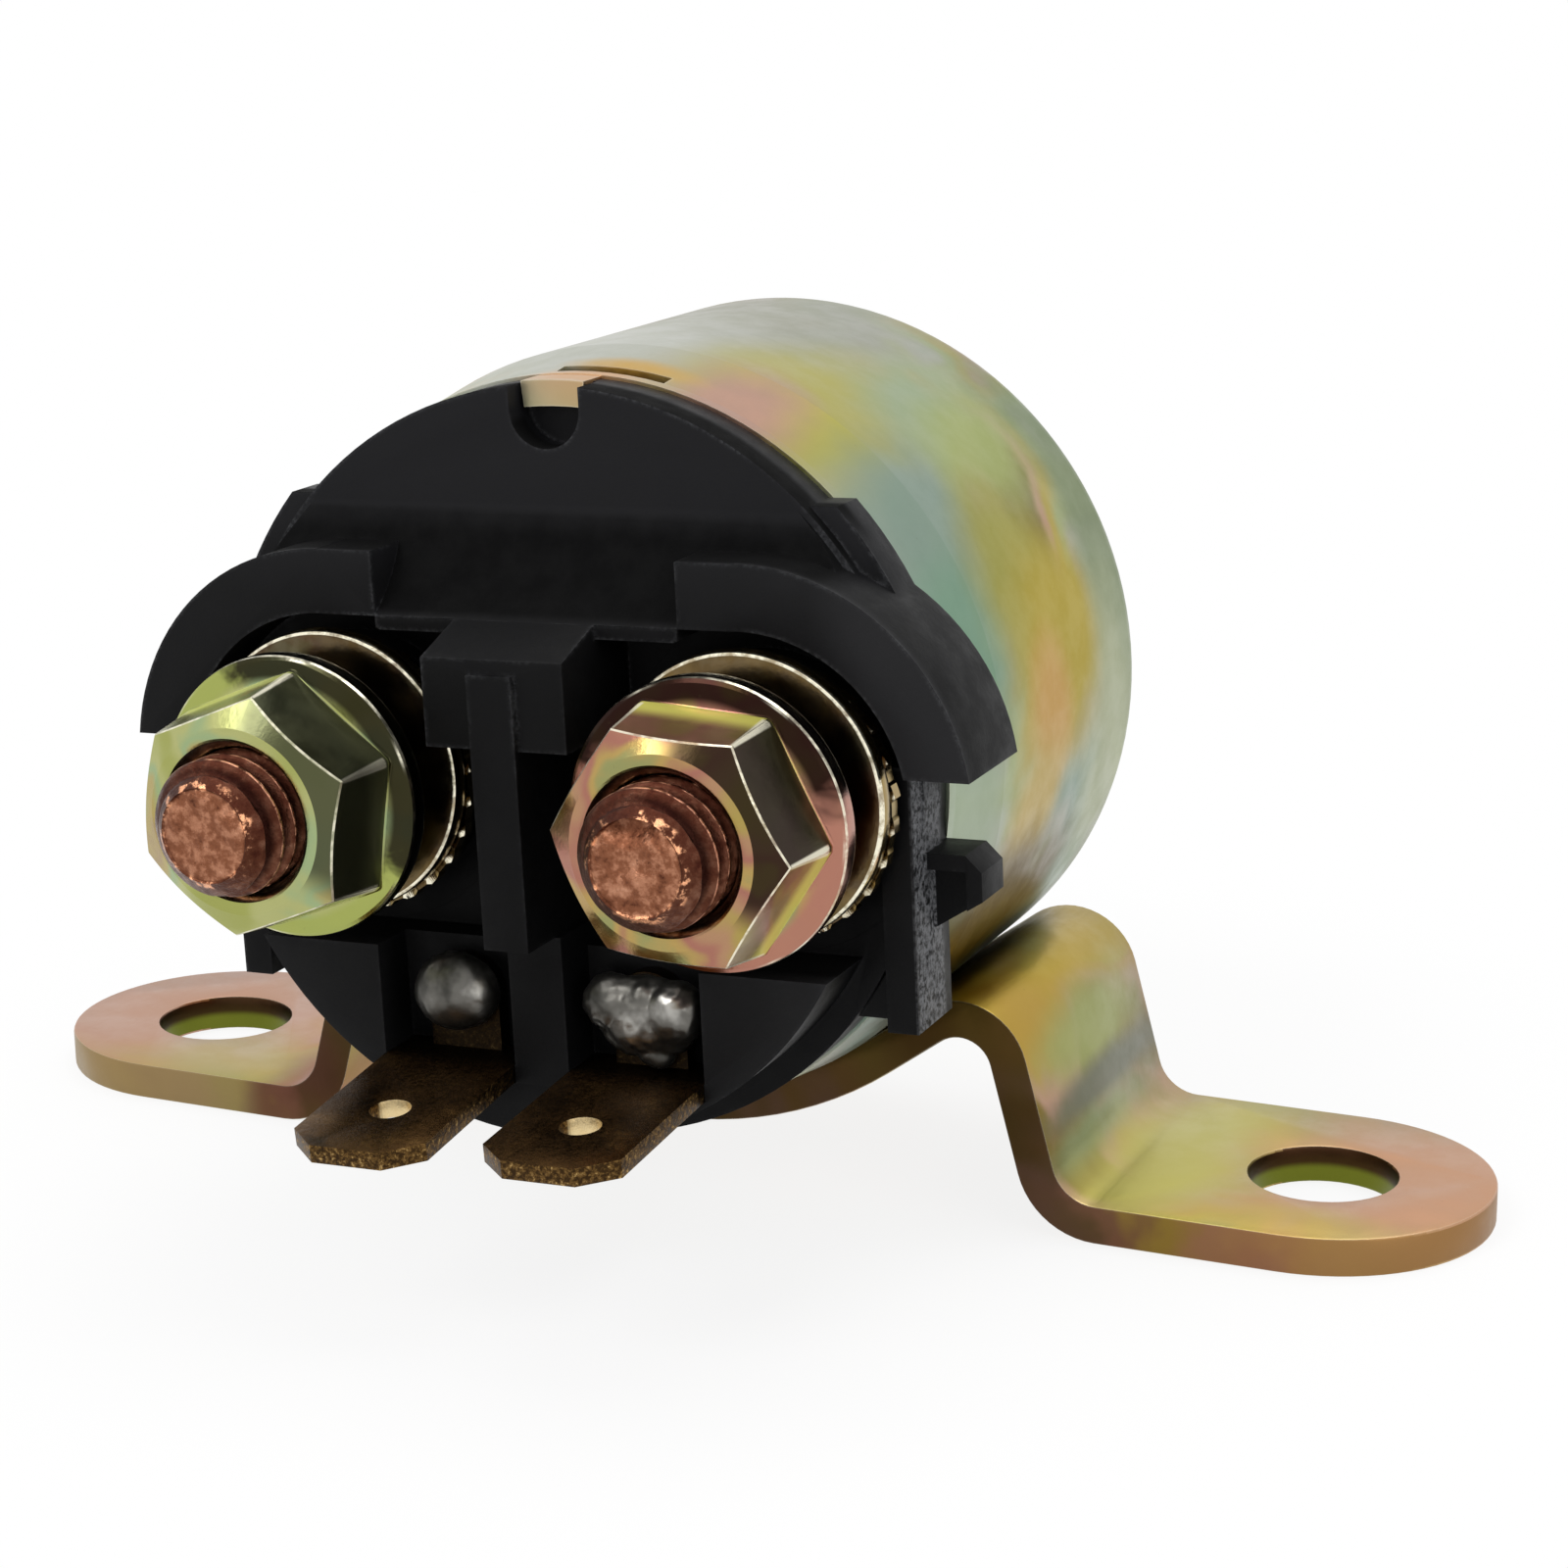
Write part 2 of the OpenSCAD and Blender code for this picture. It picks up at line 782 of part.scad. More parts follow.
module plain_washer_right() {
    at_stud(1)
        plain_washer();
}

// Hexagon nut with a flange: the flange, its cone and the chamfered hexagon share one bore.
module flange_nut(turn) {
    corner_r = nut_af / sqrt(3);
    top = nut_z + nut_h;
    base = nut_z + fit_gap;
    cone_z = base + nut_flange_t;
    bore = stud_r + thread_gap;
    flat_r = nut_af / 2;
    color(nut_gold)
        difference() {
            union() {
                rotate_extrude()
                    polygon([
                        [0, base],
                        [nut_flange_d / 2, base],
                        [nut_flange_d / 2, cone_z],
                        [flat_r, cone_z + nut_cone_h],
                        [0, cone_z + nut_cone_h]
                    ]);
                intersection() {
                    translate([0, 0, base])
                        rotate([0, 0, turn])
                            cylinder(r = corner_r, h = top - base, $fn = 6);
                    rotate_extrude()
                        polygon([
                            [0, base],
                            [corner_r + over, base],
                            [corner_r + over, top - (corner_r - nut_face_r + over) * tan(30)],
                            [nut_face_r, top],
                            [0, top]
                        ]);
                }
            }
            tube(base - over, top + over, bore);
            rotate_extrude()
                polygon([
                    [0, top - nut_sink],
                    [bore, top - nut_sink],
                    [bore + nut_sink, top],
                    [bore + nut_sink, top + over],
                    [0, top + over]
                ]);
        }
}

module flange_nut_left() {
    at_stud(-1)
        flange_nut(nut_turn_left);
}

module flange_nut_right() {
    at_stud(1)
        flange_nut(nut_turn_right);
}

// Outer part of a blade: it is bent down from the edge of the lower block, and its tip's corners are cut.
module blade_tongue() {
    half = blade_w / 2;
    tip = blade_h - blade_bend_z;
    difference() {
        translate([0, blade_t / 2, 0])
            rotate([90, 0, 0])
                linear_extrude(blade_t)
                    polygon([
                        [-half, -blade_t / 8],
                        [half, -blade_t / 8],
                        [half, tip - blade_cut_h],
                        [half - blade_cut_x, tip],
                        [blade_cut_x - half, tip],
                        [-half, tip - blade_cut_h]
                    ]);
        translate([0, over, tip - blade_hole_back])
            rotate([90, 0, 0])
                cylinder(r = blade_hole_d / 2, h = 2 * over);
    }
}

// Blade terminal: the blade runs back through the cap, and a lug stands up behind the solder joint.
module spade_terminal(droop) {
    color(brass)
        difference() {
            union() {
                translate([-blade_w / 2, -blade_y - blade_t, cavity_z])
                    cube([blade_w, blade_t, blade_bend_z - cavity_z]);
                translate([0, -blade_y - blade_t / 2, blade_bend_z])
                    rotate([droop, 0, 0])
                        blade_tongue();
                translate([-riser_w / 2, -blade_y - fit_gap, lug_z + fit_gap])
                    cube([riser_w, blade_y - lead_y + fit_gap, blade_t]);
                translate([0, -lead_y, lug_z + fit_gap])
                    cylinder(r = riser_w / 2, h = blade_t);
            }
            translate([0, -lead_y, lug_z - over])
                cylinder(r = lead_hole_r, h = blade_t + 2 * over);
        }
}

module spade_terminal_left() {
    at_blade(-1)
        spade_terminal(blade_droop_left);
}

module spade_terminal_right() {
    at_blade(1)
        spade_terminal(blade_droop_right);
}

// Solder dome on a lug: a flat cap of a ball
module solder_dome(base_r, height) {
    ball_r = (base_r * base_r + height * height) / (2 * height);
    seat = lug_z + blade_t + 2 * fit_gap;
    translate([0, -lead_y, seat])
        intersection() {
            translate([0, 0, height - ball_r])
                sphere(r = ball_r);
            cylinder(r = base_r + over, h = height + over);
        }
}

module solder_joint_left() {
    color(solder_grey)
        at_blade(-1)
            solder_dome(solder_left_r, solder_h);
}

module solder_joint_right() {
    small_r = 0.7 * solder_right_r;
    color(solder_grey)
        at_blade(1) {
            solder_dome(solder_right_r, solder_h);
            translate([0.8 * small_r, -small_r / 2, 0])
                solder_dome(small_r, 0.8 * solder_h);
            translate([-0.8 * small_r, small_r / 4, 0])
                solder_dome(small_r, 0.7 * solder_h);
        }
}

module lead_holes(low, high, radius) {
    for (side = [-1, 1])
        translate([side * blade_x, -lead_y, low])
            cylinder(r = radius, h = high - low);
}

module coil_bobbin() {
    flange_r = bore_r - 2 * wrap_t;
    color(nylon)
        at_mouth()
            difference() {
                union() {
                    tube(bobbin_end_z, bobbin_z - fit_gap, bobbin_tube_r);
                    tube(bobbin_z - bobbin_t, bobbin_z - fit_gap, flange_r);
                    tube(bobbin_end_z, bobbin_end_z + bobbin_t, flange_r);
                }
                tube(bobbin_end_z - over, bobbin_z + over, bobbin_in_r);
                lead_holes(bobbin_z - bobbin_t - over / 2, bobbin_z + over, sleeve_r);
            }
}

module coil_winding() {
    low = bobbin_end_z + bobbin_t + fit_gap;
    high = bobbin_z - bobbin_t - fit_gap;
    color(copper)
        at_mouth()
            tube(low, high, winding_r, bobbin_tube_r + fit_gap);
}

module coil_wrap() {
    low = bobbin_end_z + bobbin_t + fit_gap;
    high = bobbin_z - bobbin_t - fit_gap;
    color("#c8a93c")
        at_mouth()
            tube(low, high, winding_r + wrap_t, winding_r + fit_gap);
}

module coil_lead() {
    low = bobbin_z - bobbin_t;
    color(copper)
        translate([0, -lead_y, low])
            cylinder(r = lead_r, h = lug_z + blade_t - low);
}

module coil_lead_left() {
    at_blade(-1)
        coil_lead();
}

module coil_lead_right() {
    at_blade(1)
        coil_lead();
}

module lead_sleeves() {
    color("#e6e3da")
        at_mouth()
            for (side = [-1, 1])
                translate([side * blade_x, -lead_y, 0])
                    tube(plate_z, cavity_z - fit_gap, sleeve_r, lead_r + fit_gap);
}

module flux_plate() {
    color(steel)
        at_mouth()
            difference() {
                tube(bobbin_z + fit_gap, plate_z - fit_gap, bore_r - run_gap, tube_in_r + fit_gap);
                lead_holes(bobbin_z - over, plate_z + over, sleeve_r + thread_gap);
            }
}

module fixed_core() {
    color(steel)
        at_mouth()
            difference() {
                tube(core_z, plate_z - fit_gap, tube_in_r);
                tube(core_z - over, plate_z + over, rod_r + run_gap);
                tube(plate_z - core_front_depth, plate_z + over, core_pocket_r);
                tube(core_z - over, plate_z - core_front_depth - core_web_t, core_pocket_r);
            }
}

module guide_tube() {
    color(brass)
        at_mouth()
            tube(inner_end_z + fit_gap, bobbin_z - fit_gap, tube_out_r, tube_in_r + fit_gap / 2);
}

module buffer_pad() {
    color("#2b2b2d")
        at_mouth()
            tube(inner_end_z + fit_gap, inner_end_z + buffer_t, plunger_r - run_gap);
}

module plunger() {
    color(steel)
        at_mouth()
            difference() {
                tube(plunger_end_z, plunger_z, plunger_r);
                tube(plunger_z - plunger_pocket, plunger_z + over, core_pocket_r);
                tube(plunger_end_z + plunger_pocket, plunger_z, rod_r + fit_gap);
            }
}

module push_rod() {
    color("#c3c6c8")
        at_mouth()
            tube(plunger_end_z + plunger_pocket + fit_gap, disc_z + 1.8 * clip_t, rod_r);
}

module spring_collar() {
    color(steel)
        at_mouth()
            tube(collar_z - collar_t, collar_z, collar_r, rod_r + fit_gap);
}

module retaining_clip() {
    low = disc_z + run_gap;
    color("#8b8f93")
        at_mouth()
            difference() {
                tube(low, low + clip_t, bush_r, rod_r + fit_gap);
                translate([-rod_r / 2, 0, low - over])
                    cube([rod_r, bush_r + over, clip_t + 2 * over]);
            }
}

module contact_disc() {
    color(copper)
        at_mouth()
            tube(disc_z - disc_t, disc_z, disc_d / 2, disc_in_r);
}

module contact_bush() {
    color("#5b3a26")
        at_mouth() {
            tube(bush_end_z, disc_z, bush_r, bush_in_r);
            tube(bush_end_z, disc_z - disc_t - fit_gap, bush_r + 1.5 * bush_flange_t, bush_in_r);
        }
}

// Ring of points round a coil spring's wire, at a turn counted in degrees along the coil
function coil_ring(turn, height, mean_r, wire_r, sides) = [
    for (i = [0:sides - 1])
        let (a = 360 * i / sides, reach = mean_r + wire_r * cos(a))
        [reach * cos(turn), reach * sin(turn), height + wire_r * sin(a)]
];

// One unbroken coil spring between two stations, with closed end turns
module coil_spring(low, high, mean_r, wire, turns) {
    sides = 6;
    per_turn = 16;
    rings = turns * per_turn;
    wire_r = wire / 2;
    closed_share = 0.08;
    points = [
        for (k = [0:rings])
            let (
                t = k / rings,
                s = t < closed_share ? t * t / (2 * closed_share)
                    : t > 1 - closed_share ? 1 - closed_share - (1 - t) * (1 - t) / (2 * closed_share)
                    : t - closed_share / 2,
                z = low + wire_r + (high - low - wire) * s / (1 - closed_share)
            )
            each coil_ring(360 * turns * t, z, mean_r, wire_r, sides)
    ];
    walls = [
        for (k = [0:rings - 1])
            for (i = [0:sides - 1])
                let (j = (i + 1) % sides, a = k * sides, b = (k + 1) * sides)
                each [[a + i, b + i, b + j], [a + i, b + j, a + j]]
    ];
    ends = [
        for (i = [1:sides - 2])
            each [[0, i, i + 1], [rings * sides, rings * sides + i + 1, rings * sides + i]]
    ];
    polyhedron(points = points, faces = concat(walls, ends));
}

module contact_spring() {
    color("#b9bcc0")
        at_mouth()
            coil_spring(collar_z + fit_gap, bush_end_z - fit_gap, spring_r, contact_wire, 3);
}

module return_spring() {
    low = plunger_z - plunger_pocket + fit_gap;
    high = plate_z - core_front_depth - core_web_t - fit_gap;
    color("#b9bcc0")
        at_mouth()
            coil_spring(low, high, spring_r, return_wire, 5);
}

can();
mounting_bracket();
terminal_cap();
cap_gasket();
stud_left();
stud_right();
lock_washer_left();
lock_washer_right();
plain_washer_left();
plain_washer_right();
flange_nut_left();
flange_nut_right();
spade_terminal_left();
spade_terminal_right();
solder_joint_left();
solder_joint_right();
coil_bobbin();
coil_winding();
coil_wrap();
coil_lead_left();
coil_lead_right();
lead_sleeves();
flux_plate();
fixed_core();
guide_tube();
buffer_pad();
plunger();
push_rod();
spring_collar();
retaining_clip();
contact_disc();
contact_bush();
contact_spring();
return_spring();
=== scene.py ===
"""Looks of a starter solenoid relay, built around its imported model."""
import json
import math

import bmesh
import bpy
from mathutils import Matrix, Vector, noise


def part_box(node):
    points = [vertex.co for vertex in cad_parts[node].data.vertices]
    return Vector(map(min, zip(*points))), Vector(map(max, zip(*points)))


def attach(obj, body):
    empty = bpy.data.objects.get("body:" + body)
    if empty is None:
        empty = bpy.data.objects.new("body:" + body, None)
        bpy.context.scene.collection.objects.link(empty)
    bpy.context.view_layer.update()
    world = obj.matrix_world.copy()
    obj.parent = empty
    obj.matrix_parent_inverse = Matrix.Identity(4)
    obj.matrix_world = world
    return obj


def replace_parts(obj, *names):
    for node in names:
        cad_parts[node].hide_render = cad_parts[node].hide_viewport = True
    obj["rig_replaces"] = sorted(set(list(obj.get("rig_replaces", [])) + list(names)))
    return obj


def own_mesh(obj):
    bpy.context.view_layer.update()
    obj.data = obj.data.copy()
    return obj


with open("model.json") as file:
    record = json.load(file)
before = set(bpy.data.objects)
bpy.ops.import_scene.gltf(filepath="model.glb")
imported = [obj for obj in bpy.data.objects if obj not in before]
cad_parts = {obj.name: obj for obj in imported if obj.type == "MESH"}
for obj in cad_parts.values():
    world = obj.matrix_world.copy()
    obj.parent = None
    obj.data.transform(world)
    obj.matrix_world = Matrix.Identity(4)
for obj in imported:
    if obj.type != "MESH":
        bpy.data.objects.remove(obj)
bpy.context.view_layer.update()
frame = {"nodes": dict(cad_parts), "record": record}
nodes = frame["nodes"]

MM = 0.001

# The can's mouth: height of its axis, place of its rim and the can's turn in the bracket
AXIS_Z = 22.2 * MM
MOUTH_Y = -14.2 * MM
CLOCKING = math.radians(2.1)
MOUTH = (
    Matrix.Translation((0, MOUTH_Y, AXIS_Z))
    @ Matrix.Rotation(math.radians(90), 4, "X")
    @ Matrix.Rotation(CLOCKING, 4, "Z")
)

SIDES = {"left": -1, "right": 1}

# Studs, as distances along their axes from the can's mouth
STUD_X = 9.8 * MM
STUD_DROP = 0.2 * MM
STUD_R = 3.0 * MM
STUD_TIP = 15.9 * MM
STUD_CHAMFER = 1.05 * MM
STUD_SIDES = 96
HEAD_R = 4.2 * MM
HEAD_LOW = -2.8 * MM
HEAD_HIGH = -0.8 * MM
HEAD_ROUND = 0.15 * MM
THREAD_LOW = 4.4 * MM
THREAD_RUNOUT = 0.4 * MM
THREAD_PITCH = 1.0 * MM
THREAD_DEPTH = 0.60 * MM
# The chip at the top of the right stud's end, in millimetres across the end
CHIP_CENTRE = Vector((-0.2, 2.3, 0.0))
CHIP_REACH = 1.5
CHIP_DEPTH = {"left": 0.0, "right": 0.45 * MM}

# Flange nuts
NUT_LOW = 8.42 * MM
NUT_HIGH = 13.6 * MM
NUT_FLAT_R = 4.95 * MM
NUT_CORNER_R = 5.65 * MM
NUT_FLANGE_R = 6.15 * MM
NUT_FLANGE_T = 1.0 * MM
NUT_CONE = 0.35 * MM
NUT_FACE_R = 3.95 * MM
NUT_SINK_R = 3.46 * MM
NUT_SINK = 0.75 * MM
NUT_BORE_R = 3.03 * MM
NUT_ROUND = 0.08 * MM
NUT_FILLET = 0.14 * MM
NUT_DOME = 0.05 * MM
NUT_SIDES = 360
NUT_TURNS = {"left": 20.5, "right": 55.4}
# How much the hexagon narrows, and over which length
NUT_TAPER = 0.40 * MM
NUT_HEX_L = 3.2 * MM
# A nut's corners, carried on to the mouth, would end at this radius in millimetres
NUT_RIDGE = (NUT_CORNER_R + NUT_TAPER / NUT_HEX_L * (NUT_LOW + NUT_FLANGE_T + NUT_CONE)) / MM
# Millimetres forward of the mouth: the end of a nut's cone, the rear part of its flats, painted with a
# highlight, the length of its corners, painted with wear and highlight, and the start of its front
NUT_CONE_END = (9.68, 9.80)
NUT_GLINT_FOOT = (10.3, 11.5)
NUT_CORNERS = (9.9, 12.75)
NUT_FRONT = (11.5, 12.0)
# The direction, counted from the right upwards, in which a nut's flats and chamfer get painted shade
SHADED_SIDE = math.radians(28)

# Plain and toothed washers, and how far each has slipped sideways on its stud
WASHER_LOW = 5.2 * MM
WASHER_HIGH = 6.1 * MM
WASHER_R = 6.2 * MM
WASHER_BORE_R = 3.42 * MM
WASHER_ROUND = 0.14 * MM
WASHER_SLIP = {"left": Vector((0.14, 0.34, 0.0)) * MM, "right": Vector((0.16, 0.28, 0.0)) * MM}
LOCK_LOW = 4.22 * MM
LOCK_HIGH = 5.18 * MM
LOCK_R = 6.10 * MM
LOCK_BORE_R = 3.40 * MM
LOCK_TEETH = 26
LOCK_TOOTH = 0.12 * MM
LOCK_SLIP = Vector((0.30, 0.02, 0.0)) * MM

# The mounting holes, in millimetres
EAR_HOLE_X = 29.35
EAR_HOLE_R = 3.4

# Roundings of the edges of pieces that keep their solid's shape
BLADE_ROUND = 0.07 * MM
CAP_ROUND = 0.26 * MM
BRACKET_ROUND = 0.14 * MM
# Edges sharper than this, in degrees, are rounded
SHARP_EDGE = 32
# Points closer than this are one, and faces that bend less than this are one
SAME_POINT = 0.002 * MM
SAME_FACE = math.radians(0.6)

# Solder: balls in the joint's own frame, (centre, radii) in millimetres, and the depth of its wrinkles
SOLDER_LUMPS = {
    "left": [((-0.1, 0.2, 0.35), (2.0, 1.75, 1.5))],
    "right": [
        ((0.1, -0.1, 0.3), (2.4, 1.9, 1.3)), ((1.4, 0.2, 0.4), (1.5, 1.4, 1.3)),
        ((-1.4, 0.4, 0.4), (1.4, 1.3, 1.2)), ((0.5, -1.7, 0.4), (0.9, 0.65, 0.8)),
    ],
}
SOLDER_WRINKLE = {"left": 0.05 * MM, "right": 0.16 * MM}
SOLDER_VOXEL = 0.09 * MM

# How softly a spot of colour ends, as a share of its reach, and how finely worn edges are looked for
SPOT_SOFTNESS = 0.55
EDGE_SAMPLES = 6

# The camera, fitted to the photograph
CAMERA_AZIMUTH = math.radians(24.03)
CAMERA_ELEVATION = math.radians(15.06)
CAMERA_ROLL = math.radians(-0.75)
CAMERA_DISTANCE = 146.472 * MM
CAMERA_TARGET = Vector((8.694 * MM, -13.33 * MM, 21.453 * MM))
CAMERA_LENS = 78.338
CAMERA_SENSOR = 36.0

# Lamps: place, width and power. All point at the object's middle
LAMPS = {
    "key": ((-0.25, -0.45, 0.55), 0.35, 1.7),
    "fill": ((0.55, -0.30, 0.30), 0.40, 0.7),
    "top": ((0.05, 0.15, 0.65), 0.45, 1.2),
}
LAMP_TARGET = (0, -0.01, 0.02)
# The white room's light on dull surfaces, and the floor's colour and half width
ROOM_LIGHT = 0.72
FLOOR_COLOUR = (0.86, 0.86, 0.86, 1)
FLOOR_REACH = 3.0
# Distances from the origin between which the floor's shadow fades out, and how faint it starts
SHADOW_NEAR = 30 * MM
SHADOW_FAR = 60 * MM
SHADOW_FAINT = 0.85
WHITE = (1, 1, 1, 1)


class Graph:
    """A material's nodes, made one after the other."""

    def __init__(self, name):
        self.material = bpy.data.materials.new(name)
        self.material.use_nodes = True
        self.tree = self.material.node_tree
        self.tree.nodes.clear()
        self.output = self.tree.nodes.new("ShaderNodeOutputMaterial")
        # how metallic the surface is, for a plating
        self.metal = 1.0

    def node(self, kind, **settings):
        made = self.tree.nodes.new(kind)
        for key, value in settings.items():
            setattr(made, key, value)
        return made

    def put(self, socket, value):
        """Sets a socket to a number or colour, or links it to another node's socket."""
        if isinstance(value, bpy.types.NodeSocket):
            self.tree.links.new(value, socket)
        elif isinstance(value, (tuple, list)) and len(value) == 3 and len(socket.default_value) == 4:
            socket.default_value = (*value, 1.0)
        else:
            socket.default_value = value

    def millimetres(self):
        """The part's own coordinates, in millimetres."""
        place = self.node("ShaderNodeTexCoord").outputs["Object"]
        return self.vector("MULTIPLY", place, (1 / MM, 1 / MM, 1 / MM))

    def vector(self, operation, a, b=None):
        """A vector sum. The length and the dot product come out as numbers."""
        made = self.node("ShaderNodeVectorMath", operation=operation)
        self.put(made.inputs[0], a)
        if b is not None:
            self.put(made.inputs[1], b)
        return made.outputs["Value" if operation in ("LENGTH", "DOT_PRODUCT") else "Vector"]

    def math(self, operation, a, b=0.0):
        made = self.node("ShaderNodeMath", operation=operation)
        self.put(made.inputs[0], a)
        self.put(made.inputs[1], b)
        return made.outputs[0]

    def times(self, a, b):
        return self.math("MULTIPLY", a, b)

    def plus(self, a, b):
        return self.math("ADD", a, b)

    def minus(self, a, b):
        return self.math("SUBTRACT", a, b)

    def noise(self, place, scale, detail=3.0, rough=0.5, distortion=0.0):
        """Soft clouds between 0 and 1, of a scale per millimetre."""
        made = self.node("ShaderNodeTexNoise")
        self.put(made.inputs["Vector"], place)
        self.put(made.inputs["Scale"], scale)
        self.put(made.inputs["Detail"], detail)
        self.put(made.inputs["Roughness"], rough)
        self.put(made.inputs["Distortion"], distortion)
        return made.outputs["Fac"]

    def span(self, value, low, high, out_low=0.0, out_high=1.0):
        """Maps a value from one range to another, smoothly."""
        made = self.node("ShaderNodeMapRange", interpolation_type="SMOOTHSTEP")
        for socket, number in zip(made.inputs, (value, low, high, out_low, out_high)):
            self.put(socket, number)
        return made.outputs["Result"]

    def ramp(self, value, stops):
        """Colours at shares of a value's range."""
        made = self.node("ShaderNodeValToRGB")
        band = made.color_ramp
        band.interpolation = "EASE"
        while len(band.elements) < len(stops):
            band.elements.new(0.5)
        for element, (place, colour) in zip(band.elements, stops):
            element.position = place
            element.color = (*colour, 1.0)
        self.put(made.inputs["Fac"], value)
        return made.outputs["Color"]

    def mix(self, share, a, b):
        """Colour a, turning to colour b as share goes from 0 to 1."""
        made = self.node("ShaderNodeMix", data_type="RGBA")
        self.put(made.inputs[0], share)
        self.put(made.inputs[6], a)
        self.put(made.inputs[7], b)
        return made.outputs[2]

    def mouth(self, place):
        """X, height and distance forward, measured from the middle of the can's mouth along its own axes."""
        x, y, z = self.split(self.vector("SUBTRACT", place, (0, MOUTH_Y / MM, AXIS_Z / MM)))
        cosine, sine = math.cos(CLOCKING), math.sin(CLOCKING)
        across = self.plus(self.times(x, cosine), self.times(z, sine))
        up = self.minus(self.times(z, cosine), self.times(x, sine))
        return across, up, self.times(y, -1.0)

    def split(self, vector):
        made = self.node("ShaderNodeSeparateXYZ")
        self.put(made.inputs[0], vector)
        return made.outputs[0], made.outputs[1], made.outputs[2]

    def stud_distance(self, place):
        """Distance from the nearer stud's axis, and distance forward of the mouth."""
        across, up, forward = self.mouth(place)
        side = self.minus(self.math("ABSOLUTE", across), STUD_X / MM)
        height = self.plus(up, STUD_DROP / MM)
        square = self.plus(self.times(side, side), self.times(height, height))
        return self.math("SQRT", square), forward

    def band(self, value, low, high, soft):
        """1 between two values, with soft ends."""
        rise = self.span(value, low - soft, low + soft)
        fall = self.span(value, high - soft, high + soft, 1.0, 0.0)
        return self.times(rise, fall)

    def spot(self, place, centre, reach, wobble):
        """1 near a centre, falling to 0 at its reach along X, Y and Z, with a wandering edge."""
        away = self.vector("SUBTRACT", place, centre)
        away = self.vector("DIVIDE", away, reach)
        distance = self.plus(self.vector("LENGTH", away), wobble)
        return self.span(distance, 1 - SPOT_SOFTNESS, 1 + SPOT_SOFTNESS, 1.0, 0.0)

    def edges(self, reach, low, high):
        """1 along outer edges, from how much the surface bends within a reach."""
        bevel = self.node("ShaderNodeBevel", samples=EDGE_SAMPLES)
        self.put(bevel.inputs["Radius"], reach)
        flat = self.node("ShaderNodeNewGeometry").outputs["Normal"]
        bend = self.vector("DOT_PRODUCT", bevel.outputs["Normal"], flat)
        return self.span(bend, low, high, 1.0, 0.0)

    def facing(self):
        """The surface's own flat direction, without smooth shading."""
        return self.node("ShaderNodeNewGeometry").outputs["True Normal"]

    def bump(self, height, strength, depth):
        """A relief of a depth in metres, as a normal."""
        made = self.node("ShaderNodeBump")
        self.put(made.inputs["Strength"], strength)
        self.put(made.inputs["Distance"], depth)
        self.put(made.inputs["Height"], height)
        return made.outputs["Normal"]

    def finish(self, colour, roughness, normal, **settings):
        """Ends the material. A setting's name has underscores where the socket's has spaces."""
        shader = self.node("ShaderNodeBsdfPrincipled")
        self.put(shader.inputs["Base Color"], colour)
        self.put(shader.inputs["Roughness"], roughness)
        self.put(shader.inputs["Normal"], normal)
        for key, value in settings.items():
            self.put(shader.inputs[key.replace("_", " ")], value)
        self.put(self.output.inputs["Surface"], shader.outputs["BSDF"])
        return self.material


def srgb(red, green, blue):
    """A colour written as 0 to 255 sRGB values, turned to linear ones."""
    def linear(value):
        share = value / 255
        return share / 12.92 if share <= 0.04045 else ((share + 0.055) / 1.055) ** 2.4
    return (linear(red), linear(green), linear(blue))


# Colours of the yellow-passivated zinc plate, in the order in which its film changes with thickness
PLATE_GREY = srgb(164, 166, 152)
PLATE_TEAL = srgb(134, 156, 142)
PLATE_GREEN = srgb(158, 166, 116)
PLATE_GOLD = srgb(172, 154, 72)
PLATE_PINK = srgb(180, 142, 122)
PLATE_BROWN = srgb(104, 80, 30)
# pale rubbed metal, also used as a painted highlight on edges
PLATE_WORN_AND_GLINT = srgb(250, 244, 220)
SCRATCH = srgb(92, 84, 56)


def plated(
    name, stops, grain=0.09, offset=(0, 0, 0), roughness=(0.26, 0.40), spots=(), wear_and_glint=0.0, touch=None
):
    """
    Iridescent zinc plate: bands of film colours, then spots, then what a touch function paints, then dark
    specks and pale edges that are partly wear and partly painted highlight.
    A spot is (colour, strength, centre, reach), in millimetres.
    """
    g = Graph(name)
    place = g.millimetres()
    moved = g.vector("ADD", place, offset)
    broad = g.noise(moved, grain, 2.0, 0.45, 0.6)
    fine = g.noise(moved, grain * 5, 3.0, 0.5)
    film = g.plus(g.span(broad, 0.28, 0.72), g.times(g.minus(fine, 0.5), 0.22))
    colour = g.ramp(film, stops)
    wobble = g.times(g.minus(g.noise(place, 0.16, 3.0, 0.5), 0.5), 0.9)
    for tint, strength, centre, reach in spots:
        share = g.times(g.spot(place, centre, reach, wobble), strength)
        colour = g.mix(share, colour, tint)
    if touch is not None:
        colour = touch(g, place, colour)
    speck = g.noise(place, 2.6, 4.0, 0.7)
    colour = g.mix(g.span(speck, 0.66, 0.80, 0.0, 0.30), colour, SCRATCH)
    # pale edges: partly wear, partly painted highlight where the rounded edges would catch the light
    if wear_and_glint:
        edge = g.times(g.edges(0.12 * MM, 0.86, 0.985), wear_and_glint)
        colour = g.mix(edge, colour, PLATE_WORN_AND_GLINT)
    streaks = g.noise(g.vector("MULTIPLY", place, (1.0, 0.25, 1.0)), 3.2, 5.0, 0.65)
    rough = g.span(g.noise(place, 0.5, 4.0, 0.6), 0.3, 0.7, *roughness)
    normal = g.bump(streaks, 0.16, 0.06 * MM)
    return g.finish(colour, rough, normal, Metallic=g.metal)


